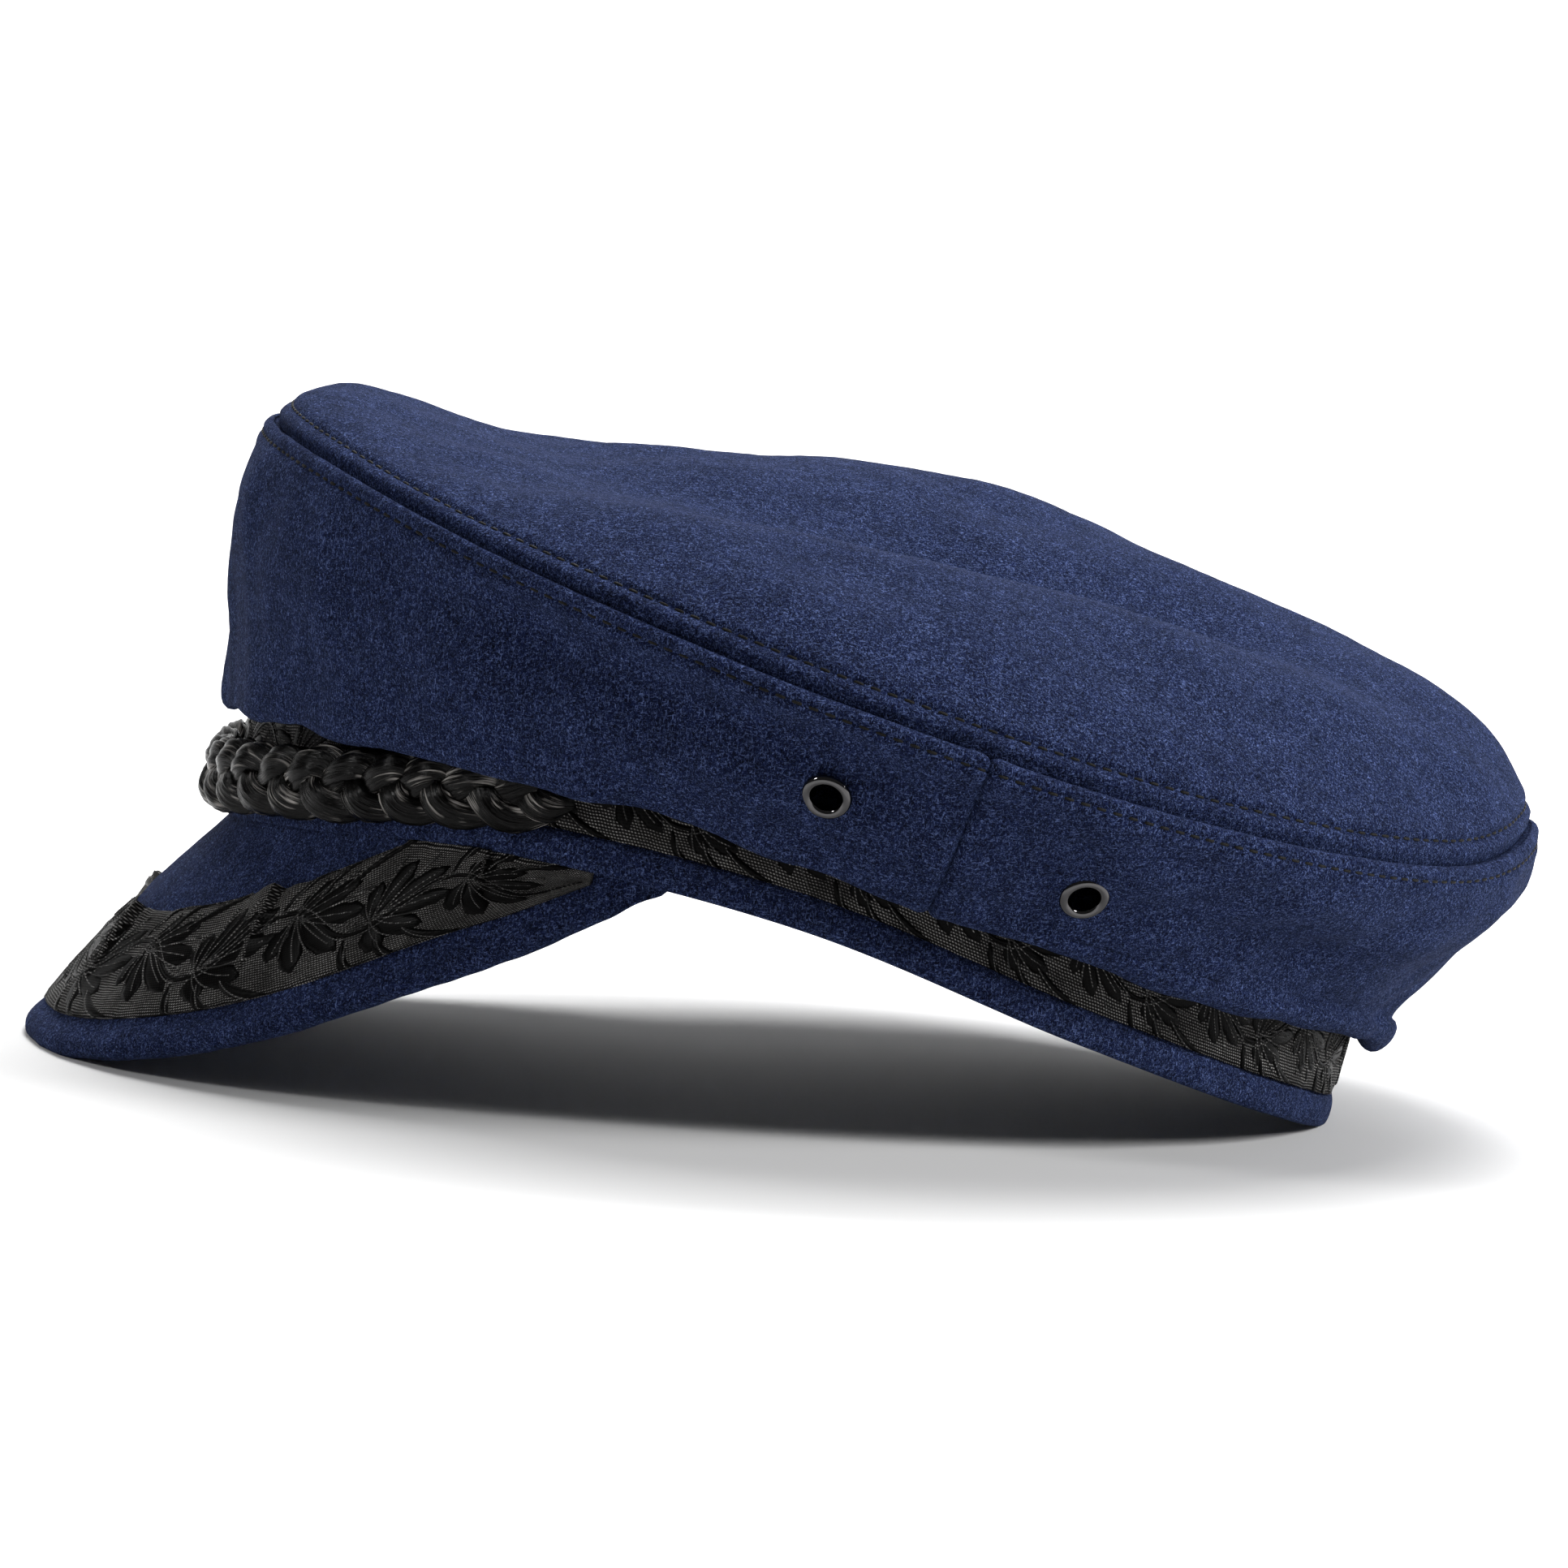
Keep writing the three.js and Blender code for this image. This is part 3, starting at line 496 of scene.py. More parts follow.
walls = {}
for name, node, start, end in (
    ("crown_front", "front_wall", -SIDE_SEAM_TURN, SIDE_SEAM_TURN),
    ("crown_back", "back_wall", SIDE_SEAM_TURN, 360 - SIDE_SEAM_TURN),
):
    turns = wall_turns(start, end)
    flat, places = resampled(outer_line(turns)[0][:, ::-1], WALL_COLUMNS)
    points = from_band(turns[:, None], flat[..., 0], flat[..., 1])
    normals = seamed_normals(face_normals(points, outward_at(turns), 30), turns, places)
    outer = points + normals * wall_relief(turns, points, places)[..., None]
    inner, behind = inner_face(points, normals, 4)
    wall = wall_solid(name, lay(outer), lay(inner), behind)
    walls[name] = {"outer": outer, "normals": normals, "object": wall}
    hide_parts(node)

# ------------------------------------------------------------
# The top panel: one oval of melton with no stiffening, so it stands up softly at the front and sinks in folds
# behind it. Its edge is sewn to the walls and topstitched like theirs.

TOP_RISE = 27.0
TOP_FORMS = [
    # side, back, wide, long, rise
    (0, -0.68, 1.5, 0.3, -0.5),
    (0, -0.97, 0.5, 0.1, 0.19),
    (0, 0.88, 0.6, 0.16, 0.1),
    (0.42, -0.12, 0.34, 0.42, -0.36),
    (0.3, 0.5, 0.3, 0.3, -0.1),
    (-0.5, -0.3, 0.4, 0.24, -0.1),
    (-0.5, 0.25, 0.35, 0.3, 0.03),
]
TOP_FOLDS = [
    # side and back of one end and the other, width, rise
    (0.66, -0.5, 0.46, 0.8, 0.14, 0.14),
    (0.34, -0.2, 0.2, 0.62, 0.14, -0.2),
    (-0.1, 0.0, -0.35, 0.18, 0.17, 0.12),
]
TOP_SWELLS = [(38, 0.75, 21), (13, 0.15, 22)]
TOP_COLUMNS, TOP_TURNS = 84, 600
seam_front, seam_back, seam_left = (from_band(t, *seam_edge(t)) for t in (0, 180, 90))
top_middle = np.array([0, (seam_front[1] + seam_back[1]) / 2, (seam_front[2] + seam_back[2] + 2 * seam_left[2]) / 4])
top_half_length, top_half_width = (seam_back[1] - seam_front[1]) / 2, seam_left[0]


def top_point(turn, share):
    """The top panel's upper face. share is 0 at the middle and 1 at the seam."""
    edge = from_band(turn, *seam_edge(turn))[:, None]
    puff = (1 - share**3) ** 0.625
    points = top_middle + (edge - top_middle) * share[:, None]
    z = top_middle[2] + (edge[..., 2] - top_middle[2]) * share**2 + TOP_RISE * puff + CLOTH / 2
    side = (points[..., 0] - top_middle[0]) / top_half_width
    back = (points[..., 1] - top_middle[1]) / top_half_length
    for at_side, at_back, wide, long, rise in TOP_FORMS:
        z = z + TOP_RISE * rise * hump(side, at_side, wide) * hump(back, at_back, long) * puff
    for side_a, back_a, side_b, back_b, wide, rise in TOP_FOLDS:
        run_side, run_back = side_b - side_a, back_b - back_a
        t = ((side - side_a) * run_side + (back - back_a) * run_back) / (run_side**2 + run_back**2)
        t = np.clip(t, 0, 1)
        apart = np.hypot(side - side_a - t * run_side, back - back_a - t * run_back)
        z = z + TOP_RISE * rise * hump(apart, 0, wide) * np.sin(math.pi * (0.15 + 0.7 * t)) * puff
    return np.concatenate([points[..., :2], z[..., None]], -1)


def top_solid(outer, inner):
    """The closed panel, with one point in the middle of each face."""
    turns, fine, coarse = len(outer), outer.shape[1] - 1, inner.shape[1] - 1
    rings = [outer[:, :-1].reshape(-1, 3), inner[:, :-1].reshape(-1, 3)]
    points = np.concatenate([*rings, outer[:1, -1], inner[:1, -1]])
    base, outer_middle, inner_middle = turns * fine, len(points) - 2, len(points) - 1
    faces = grid_faces(turns, fine, ring=True) + grid_faces(turns, coarse, base, ring=True, flip=True)
    for i in range(turns):
        k = (i + 1) % turns
        a, b, c, d = i * fine, k * fine, base + i * coarse, base + k * coarse
        faces += [(a, b, d, c), (a + fine - 1, outer_middle, b + fine - 1)]
        faces.append((c + coarse - 1, d + coarse - 1, inner_middle))
    return mesh_object("crown_top", points, faces, wool)


top_turns = np.linspace(-180, 180, TOP_TURNS, endpoint=False)
top_dense = top_point(top_turns, np.sin(np.linspace(math.pi / 2, 0, 420)))
top_corner = outer_line(top_turns)[1]
corner_points = from_band(top_turns, top_corner[:, 0], top_corner[:, 1])
top_grid, top_places = resampled(np.concatenate([corner_points[:, None], top_dense], 1), TOP_COLUMNS)
top_normals = face_normals(top_grid, (0, 0, 1), 60, ring=True)
top_normals[:, -1] = (0, 0, 1)
top_normals = seamed_normals(top_normals, top_turns, top_places)
top_relief = seam_relief(top_places, ripples(top_grid, SEAM_RIPPLE)) + ripples(top_grid, FELT_GRAIN)
top_relief += smooth_step((top_places - 3) / 14) * ripples(top_grid, *TOP_SWELLS)
top_relief[:, -1] = top_relief[:, -1].mean()
top_outer = top_grid + top_normals * top_relief[..., None]
top_inner = inner_face(top_grid, top_normals, 5)[0]
crown_top = top_solid(lay(top_outer), lay(top_inner))
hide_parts("top_panel")
for piece in (crown_top, *(wall["object"] for wall in walls.values())):
    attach(piece, "root")

# ------------------------------------------------------------
# The topstitching: dark polyester thread in 3 mm stitches, one row on each side of the top seam. Each stitch is a
# short twisted length that dives into the nap at both ends.

STITCH_PITCH, STITCH_LENGTH, THREAD_RADIUS = 3.0, 2.25, 0.27
STITCH_DIVE, STITCH_ARCH = 0.32, 0.42
STITCH_RINGS, STITCH_SIDES = 7, 7

thread, thread_tree, thread_shader = new_material("dark_thread", (0.009, 0.009, 0.008), 0.5, Specular_IOR_Level=0.15)
thread_twist = noise(thread_tree, add_node(thread_tree, "TexCoord")["Object"], 4200.0, 2.0)
thread_color = color_mix(
    thread_tree, remap(thread_tree, thread_twist, 0.35, 0.7), (0.0016, 0.0015, 0.0014, 1), (0.010, 0.0095, 0.008, 1)
)
set_looks(thread_tree, thread_shader, thread_color, thread_twist, 0.6, 0.0002)


def tube_faces(places, corners, first=0):
    """The faces of a closed tube over its points, [place, corner], with a flat one at each end."""
    last = first + (places - 1) * corners
    ends = [tuple(reversed(range(first, first + corners))), tuple(range(last, last + corners))]
    return grid_faces(places, corners, first, closed=True) + ends


def add_stitches(points, faces, path, normals, first):
    """Adds a row of stitches on a path, whose ends dive under the surface."""
    reached = travelled(path)
    shares = np.linspace(0, 1, STITCH_RINGS)
    from_middle = np.abs(2 * shares - 1)
    radius = THREAD_RADIUS * np.clip(1.25 * np.sqrt(np.clip(1 - from_middle**4, 0, 1)), 0.25, 1)
    draw = np.random.default_rng(5)
    for start in np.arange(first, reached[-1] - STITCH_LENGTH, STITCH_PITCH):
        spots = start + STITCH_LENGTH * shares
        middle = points_at(spots, reached, path)
        up = unit(points_at(spots, reached, normals))
        across = unit(np.cross(unit(np.gradient(middle, axis=0)), up))
        lift = STITCH_ARCH * (1 - from_middle**3) - STITCH_DIVE + draw.uniform(-0.03, 0.03)
        middle = middle + up * lift[:, None]
        ring = [
            middle + (across * math.cos(a) + up * math.sin(a) * 0.8) * radius[:, None]
            for a in np.linspace(0, 2 * math.pi, STITCH_SIDES, endpoint=False)
        ]
        faces += tube_faces(STITCH_RINGS, STITCH_SIDES, len(points) * STITCH_RINGS * STITCH_SIDES)
        points.append(np.stack(ring, 1).reshape(-1, 3))


stitch_points, stitch_faces = [], []
top_row = [np.concatenate([grid[:, STITCH_COLUMN], grid[:1, STITCH_COLUMN]]) for grid in (top_outer, top_normals)]
wall_rows = [(wall["outer"][:, STITCH_COLUMN], wall["normals"][:, STITCH_COLUMN]) for wall in walls.values()]
for number, (path, normals) in enumerate([top_row, *wall_rows]):
    add_stitches(stitch_points, stitch_faces, path, normals, 0.6 + 0.7 * number)
top_stitches = mesh_object("top_seam_stitches", lay(np.concatenate(stitch_points)), stitch_faces, thread)
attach(top_stitches, "root")

# ------------------------------------------------------------
# The vent eyelets: two-part black nickel rings, pressed through the walls in front of and behind each side seam. The
# cloth is punched for them.

EYELET_BORE, EYELET_FLANGE, EYELET_METAL = 5.2, 8.8, 0.5
EYELET_SIDES, PUNCH_SIDES = 56, 28
PUNCH = np.array([(0.0001, 6.0), (3.2, 6.0), (3.2, -6.0), (0.0001, -6.0)]) / 1000
EYELETS = [
    ("eyelet_left_front", "crown_front"),
    ("eyelet_left_rear", "crown_back"),
    ("eyelet_right_front", "crown_front"),
    ("eyelet_right_rear", "crown_back"),
]

nickel, nickel_tree, nickel_shader = new_material("black_nickel", (0.09, 0.088, 0.09), 0.12, Metallic=1.0)
nickel_wear = noise(nickel_tree, add_node(nickel_tree, "TexCoord")["Object"], 900.0, 4.0)
nickel_tree.links.new(remap(nickel_tree, nickel_wear, 0.0, 1.0, 0.04, 0.14), nickel_shader["Roughness"])


def lathe(profile, sides, place, axis):
    """A ring turned round an axis, from (radius, height) points that close on themselves."""
    side = unit(np.cross(axis, [0.13, 0.31, 0.94]))
    other = np.cross(axis, side)
    points = [
        place + side * radius * math.cos(a) + other * radius * math.sin(a) + axis * height
        for a in np.linspace(0, 2 * math.pi, sides, endpoint=False)
        for radius, height in profile
    ]
    faces = grid_faces(sides, len(profile), ring=True, closed=True)
    return np.array(points), [face[::-1] for face in faces]


def rolled_rim():
    """The eyelet's section: a round roll outside, a barrel through the cloth and a flat flange inside."""
    bore, rim = EYELET_BORE / 2, EYELET_FLANGE / 2
    middle, half = (bore + rim) / 2, (rim - bore) / 2
    roll = [
        (middle + half * math.cos(a), CLOTH / 2 - 0.25 + half * 0.95 * max(0.0, math.sin(a)) + 0.12 * math.sin(a))
        for a in np.linspace(-0.35, math.pi, 15)
    ]
    back = [(bore, -2.0), (bore + 0.25, -2.3), (rim - 0.9, -2.3), (rim - 0.8, -1.9), (bore + EYELET_METAL, -1.7)]
    return np.array(roll + back + [(bore + EYELET_METAL, CLOTH / 2 - 0.5)]) / 1000


cutters = {name: [] for name in walls}
for node, wall_name in EYELETS:
    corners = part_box(node)
    middle = np.array((corners[0] + corners[1]) / 2)
    wall = walls[wall_name]
    surface = lay(wall["outer"])
    nearest = np.unravel_index(np.argmin(np.linalg.norm(surface - middle, axis=-1)), surface.shape[:2])
    axis = unit(lay(wall["outer"][nearest] + wall["normals"][nearest]) - surface[nearest])
    place = middle + axis * (np.dot(surface[nearest] - middle, axis) - CLOTH / 2000)
    ring = mesh_object(node + "_ring", *lathe(rolled_rim(), EYELET_SIDES, place, axis), nickel)
    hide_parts(node)
    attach(ring, "root")
    cutters[wall_name].append(lathe(PUNCH, PUNCH_SIDES, place, axis))

for wall_name, holes in cutters.items():
    wall = walls[wall_name]["object"]
    for points, faces in holes:
        punch = mesh_object("punch", points, faces, wool, False)
        cut = wall.modifiers.new("punch", "BOOLEAN")
        cut.operation, cut.object, cut.solver = "DIFFERENCE", punch, "EXACT"
        bpy.context.view_layer.update()
        cut_mesh = bpy.data.meshes.new_from_object(wall.evaluated_get(bpy.context.evaluated_depsgraph_get()))
        wall.modifiers.remove(cut)
        wall.data = cut_mesh
        bpy.data.objects.remove(punch)

# ------------------------------------------------------------
# The head band: stiff canvas covered in melton, which rolls softly round the lower edge. The edge arches over the ears.

BAND_EDGE_HEIGHT, BAND_EDGE_ROLL = 6.0, 1.5
BAND_TURNS, BAND_SWELLS = 560, [(16, 0.22, 31), (5, 0.06, 32)]


def band_section():
    """(out, height above the edge) round the band: up the outer face with its rolled edge, and down the inner face."""
    roll = [
        (BAND_EDGE_ROLL * (0.25 + 0.75 * math.sin(a)) - 0.2, BAND_EDGE_HEIGHT * 0.5 * (1 - math.cos(a)))
        for a in np.linspace(0.35, math.pi, 16)
    ]
    outer = [(0.0, up) for up in np.linspace(BAND_EDGE_HEIGHT + 0.6, BAND_HEIGHT, 12)]
    inner = [(-BAND_THICKNESS, up) for up in np.linspace(BAND_HEIGHT, 2.0, 8)]
    foot = [(-BAND_THICKNESS * 0.85, 0.7), (-BAND_THICKNESS * 0.5, 0.1), (-0.4, 0.0)]
    return np.moveaxis(np.array(roll + outer + inner + foot), 1, 0)


band_turns = np.linspace(-180, 180, BAND_TURNS, endpoint=False)
band_out, band_up = band_section()
band_points = from_band(band_turns[:, None], band_out, band_bottom(band_turns)[:, None] + band_up)
band_swell = ripples(band_points, *BAND_SWELLS) * (band_out > 0.05)
band_points = band_points + outward_at(band_turns)[:, None] * band_swell[..., None]
band_faces = grid_faces(BAND_TURNS, len(band_out), ring=True, closed=True, flip=True)
band = mesh_object("band_cover", lay(band_points).reshape(-1, 3), band_faces, wool)
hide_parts("head_band")
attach(band, "root")

# ------------------------------------------------------------
# The band's ribbon: a black jacquard braid, 17 mm wide, sewn over the band above its wool edge. Grey dots of warp show
# in its rows of threads, and raised satin leaves and plumes hang on a waving stem. Its two ends meet at the back.

BAND_RIBBON_WIDTH = 17.0
BAND_SPRAY_PERIOD, BAND_LEAF = 29, 13.5
BAND_RIBBON_SWELLS = [(12, 0.14, 41), (4, 0.05, 42)]
RIBBON_BLACK = (0.0022, 0.002, 0.002, 1)
RIBBON_GREY = (0.42, 0.41, 0.40, 1)
THREAD_PITCH = 0.52

weave, weave_given, weave_gives = new_group(
    "ribbon_threads", {"Along": "Vector", "Black": "Color", "Grey": "Color"}, {"Color": "Color", "Height": "Float"}
)
flat_place = weave_given["Along"]
flat_axes = add_node(weave, "SeparateXYZ", {"Vector": flat_place})
wander = calculate(weave, "MULTIPLY", noise(weave, flat_place, 0.16, 2.0), 0.9)
turn_of_row = calculate(weave, "MULTIPLY", calculate(weave, "ADD", flat_axes["Y"], wander), 2 * math.pi / THREAD_PITCH)
turn_of_dot = calculate(weave, "MULTIPLY", flat_axes["X"], 2 * math.pi / (THREAD_PITCH * 1.15))
dot_turn = calculate(weave, "ADD", turn_of_dot, calculate(weave, "MULTIPLY", turn_of_row, 0.5))
row_wave, dot_wave = (
    calculate(weave, "MULTIPLY_ADD", calculate(weave, "SINE", turn), 0.5, 0.5) for turn in (turn_of_row, dot_turn)
)
dot_height = calculate(weave, "MULTIPLY", row_wave, calculate(weave, "MULTIPLY_ADD", dot_wave, 0.75, 0.25))
dots = calculate(weave, "POWER", dot_height, 2.4)
speckle = remap(weave, noise(weave, flat_place, 2.6, 3.0), 0.25, 0.55)
worn = remap(weave, noise(weave, flat_place, 0.12, 3.0), 0.3, 0.6, 0.45, 1.3)
lit = calculate(weave, "MULTIPLY", calculate(weave, "MULTIPLY", dots, speckle), worn)
weave.links.new(color_mix(weave, lit, weave_given["Black"], weave_given["Grey"]), weave_gives["Color"])
weave.links.new(dots, weave_gives["Height"])


def threaded(name, black, grey, roughness, depth, shine):
    made, tree, shader = new_material(name, black, roughness, Specular_IOR_Level=shine)
    flat = add_node(tree, "UVMap", uv_map="threads")["UV"]
    spread = add_node(tree, "Mapping", {"Vector": flat, "Scale": (1000.0, 1000.0, 1.0)})["Vector"]
    cloth = add_node(tree, "Group", {"Along": spread, "Black": black, "Grey": grey}, node_tree=weave)
    set_looks(tree, shader, cloth["Color"], cloth["Height"], 0.7, depth)
    return made


ribbon_cloth = threaded("jacquard_ground", RIBBON_BLACK, RIBBON_GREY, 0.62, 0.00025, 0.05)
leaf_satin = threaded("jacquard_satin", (0.0009, 0.0008, 0.0008, 1), RIBBON_BLACK, 0.36, 0.00006, 0.045)
vein_thread = threaded("jacquard_vein", (0.02, 0.02, 0.02, 1), RIBBON_GREY, 0.5, 0.0002, 0.06)


def set_flat_map(piece, flat):
    """Keeps each point's place on the flat ribbon, in metres along and across it, as the piece's UV map."""
    layer = piece.data.uv_layers.new(name="threads")
    corners = np.zeros(len(piece.data.loops), int)
    piece.data.loops.foreach_get("vertex_index", corners)
    layer.data.foreach_set("uv", (np.asarray(flat)[corners] / 1000).astype(np.float32).ravel())


def strip_faces(long, wide, first=0):
    """The faces of a closed strip whose upper points, [along, across], come before the lower ones."""
    count = long * wide
    spots = first + np.arange(count).reshape(long, wide)
    edge = np.concatenate([spots[0], spots[1:, -1], spots[-1, -2::-1], spots[-2:0:-1, 0]]).tolist()
    sides = [(p, p + count, q + count, q) for p, q in zip(edge, edge[1:] + edge[:1])]
    return grid_faces(long, wide, first) + grid_faces(long, wide, first + count, flip=True) + sides


class Figures:
    """The woven figures of one ribbon: padded blades and thin threads that lie on its upper face."""

    def __init__(self, surface, normals, us, vs):
        self.surface, self.normals, self.us, self.vs = surface, normals, us, vs
        self.points, self.faces, self.flat, self.count = [], [], [], 0

    def lookup(self, table, flat):
        """A value from a table over the ribbon, straight between its rows and columns."""
        u, v = flat[..., 0], flat[..., 1]
        i = np.clip(np.searchsorted(self.us, u) - 1, 0, len(self.us) - 2)
        j = np.clip(np.searchsorted(self.vs, v) - 1, 0, len(self.vs) - 2)
        s = np.clip((u - self.us[i]) / (self.us[i + 1] - self.us[i]), 0, 1)[..., None]
        t = np.clip((v - self.vs[j]) / (self.vs[j + 1] - self.vs[j]), 0, 1)[..., None]
        low = table[i, j] * (1 - s) + table[i + 1, j] * s
        high = table[i, j + 1] * (1 - s) + table[i + 1, j + 1] * s
        return low * (1 - t) + high * t

    def add_path(self, path, widths, height):
        """A padded strip along a path of (u, v), domed across its width."""
        along = unit(np.gradient(path, axis=0))
        side = np.stack([-along[:, 1], along[:, 0]], -1)
        shares = np.linspace(-1, 1, 5)
        widths = np.broadcast_to(widths, len(path))
        flat = path[:, None] + side[:, None] * (widths[:, None] / 2 * shares)[..., None]
        dome = np.sqrt(1 - shares**2) * np.minimum(1, widths / widths.max() * 1.3)[:, None]
        base, way = self.lookup(self.surface, flat), unit(self.lookup(self.normals, flat))
        upper, lower = base + way * (height * dome - 0.02)[..., None], base - way * 0.25
        self.faces += strip_faces(*upper.shape[:2], self.count)
        self.points += [upper.reshape(-1, 3), lower.reshape(-1, 3)]
        self.flat += [flat.reshape(-1, 2)] * 2
        self.count += 2 * upper[..., 0].size

    def build(self, name, material):
        made = mesh_object(name, lay(np.concatenate(self.points)), self.faces, material)
        set_flat_map(made, np.concatenate(self.flat))
        return made


LEAF_BLADES = [
    # start along the midrib, angle, length, width, bend: shares of the leaf's length, and degrees
    (0.02, 82, 0.46, 0.27, -34),
    (0.06, 46, 0.68, 0.30, -22),
    (0.12, 14, 0.84, 0.27, -6),
    (0.12, -16, 0.82, 0.27, 6),
    (0.06, -48, 0.66, 0.29, 22),
    (0.02, -84, 0.44, 0.26, 34),
]
BLADE_VEINS = [(-17, 0.97), (0, 0.8)]  # angle from the blade, share of its length
BLADE_PAD, PLUME_PAD, STEM_WIDTH, VEIN_WIDTH = 0.2, 0.3, 0.85, 0.32
PLUMES = [
    # share of the period along the stem, angle, share of the ribbon's width, bend
    (-0.10, 62, 0.62, -75),
    (0.06, 50, 0.72, -64),
    (0.20, 34, 0.66, -40),
]


def blade_path(foot, heading, length, bend, count=9):
    headings = math.radians(heading) + math.radians(bend) * (np.linspace(0, 1, count) - 0.2)
    steps = np.stack([np.cos(headings), np.sin(headings)], -1) * length / (count - 1)
    return foot + np.concatenate([[[0, 0]], np.cumsum(steps[:-1], 0)])


def add_leaf(figures, veins, foot, heading, length):
    ahead = np.array([math.cos(math.radians(heading)), math.sin(math.radians(heading))]) * length
    for start, angle, long, wide, bend in LEAF_BLADES:
        path = blade_path(foot + ahead * start, heading + angle, length * long, bend)
        shares = np.linspace(0, 1, len(path))
        widths = length * wide * np.sin(math.pi * np.clip(shares, 0.015, 0.985) ** 1.15) ** 0.8
        figures.add_path(path, widths * (1 + 0.13 * np.cos(5 * math.pi * shares)), BLADE_PAD)
        for beside, reach in BLADE_VEINS:
            vein = blade_path(foot + ahead * start, heading + angle + beside, length * long * reach, bend, 8)
            veins.add_path(vein, VEIN_WIDTH, VEIN_WIDTH)


def add_sprays(figures, veins, end, width, period, leaf):
    """A stem that waves along the ribbon, with a leaf on one side and plumes on the other of every half wave."""
    swing = width * 0.2
    us = np.arange(1, end - 1, 1.1)
    stem = np.stack([us, width / 2 + swing * np.sin(2 * math.pi * us / period)], -1)
    figures.add_path(stem, STEM_WIDTH, PLUME_PAD)
    for shift in (-STEM_WIDTH, STEM_WIDTH):
        veins.add_path(stem + [0, shift], 0.3, 0.26)
    for number, u in enumerate(np.arange(period * 0.3, end - leaf * 0.4, period / 2)):
        side = 1 if number % 2 == 0 else -1
        foot = np.array([u, width / 2 + swing * math.sin(2 * math.pi * u / period)])
        add_leaf(figures, veins, foot - [0, side * width * 0.05], -side * 24, leaf)
        for place, angle, long, bend in PLUMES:
            root = foot + [period * place, side * width * 0.04]
            plume = blade_path(root, side * angle, width * long, side * bend, 12)
            shares = np.clip(np.linspace(0, 1, len(plume)), 0.02, 0.98)
            figures.add_path(plume, width * 0.085 * np.sin(math.pi * shares) ** 0.6, PLUME_PAD)
            veins.add_path(plume + [0.055 * width, side * 0.05 * width], 0.4, 0.34)


def woven_ribbon(name, upper, lower, ways, along, across, period, leaf):
    """A ribbon's ground, leaves and veins, with the places of its rows along it and of its columns across it."""
    flat = np.stack(np.broadcast_arrays(along[:, None], across), -1)
    points = lay(np.concatenate([upper.reshape(-1, 3), lower.reshape(-1, 3)]))
    ground = mesh_object(name + "_ground", points, strip_faces(*upper.shape[:2]), ribbon_cloth)
    set_flat_map(ground, np.concatenate([flat.reshape(-1, 2)] * 2))
    leaves, veins = (Figures(upper, ways, along, across) for _ in range(2))
    add_sprays(leaves, veins, along[-1], across[-1], period, leaf)
    return ground, leaves.build(name + "_leaves", leaf_satin), veins.build(name + "_veins", vein_thread)


ribbon_turns = np.linspace(-179.9, 179.9, 520)
ribbon_up = np.linspace(0, BAND_RIBBON_WIDTH, 13)
ribbon_arc = travelled(from_band(ribbon_turns, 0.6, band_bottom(ribbon_turns)))
rise = band_bottom(ribbon_turns)[:, None] + BAND_EDGE_HEIGHT + SEWN_GAP + ribbon_up
soft_edge = 0.35 * np.sqrt(np.clip(1 - np.abs(2 * ribbon_up / BAND_RIBBON_WIDTH - 1) ** 8, 0, 1))
ribbon_face = from_band(ribbon_turns[:, None], 0.3 + soft_edge, rise)
ribbon_way = np.broadcast_to(outward_at(ribbon_turns)[:, None], ribbon_face.shape)
ribbon_face = ribbon_face + ribbon_way * (0.2 + ripples(ribbon_face, *BAND_RIBBON_SWELLS))[..., None]
ribbon_back = from_band(ribbon_turns[:, None], 0.05, rise)
band_ribbon_pieces = woven_ribbon(
    "band_ribbon", ribbon_face, ribbon_back, ribbon_way, ribbon_arc, ribbon_up, BAND_SPRAY_PERIOD, BAND_LEAF
)
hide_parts("band_ribbon")
for piece in band_ribbon_pieces:
    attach(piece, "root")

# ------------------------------------------------------------
# The peak: a stiff board padded and covered in melton, which rolls thickly round the rim. It dips steeply from the
# band and bends down a little more towards its rim, and its rim rests on the table.

PEAK_LENGTH, PEAK_THICKNESS, PEAK_END_TURN, PEAK_BEND = 54.5, 3.2, 79.0, 10.0
PEAK_TURNS = [0, 20, 40, 60, 80]
PEAK_REACH = [1, 0.965, 0.75, 0.4, 0.02]
PEAK_SLOPE = [60, 63.5, 71, 78, 84]
PEAK_SWELLS = [(17, 0.22, 51), (5, 0.07, 52)]
RIM_PAD, PAD_WIDTH, ROOT_TUCK = 0.75, 5.5, 2.5
BEND_STEPS = 6


def peak_point(turn, along, above):
    """A point of the peak at a turn, a distance from the band along the board and a height above its upper face."""
    slope = at_turn(PEAK_TURNS, PEAK_SLOPE, turn)
    out, z = -BAND_THICKNESS * 0.6, band_bottom(turn) - 1.4 * SEWN_GAP
    for i in range(BEND_STEPS):
        bent = np.radians(slope + PEAK_BEND * ((i + 0.5) / BEND_STEPS * along / PEAK_LENGTH - 0.4))
        out, z = out + np.cos(bent) * along / BEND_STEPS, z - np.sin(bent) * along / BEND_STEPS
    end = np.radians(slope + PEAK_BEND * (along / PEAK_LENGTH - 0.4))
    lift = above + PEAK_THICKNESS / 2
    z = z + ROOT_TUCK * np.clip(1 - along, 0, 1)
    level = 1 - np.minimum(1, along / (PEAK_THICKNESS / 2))
    out = out + lift * np.sin(end) / (1 - level * (1 - np.sin(end) ** 2))
    return from_band(turn, out, z + lift * np.cos(end) * (1 - level))


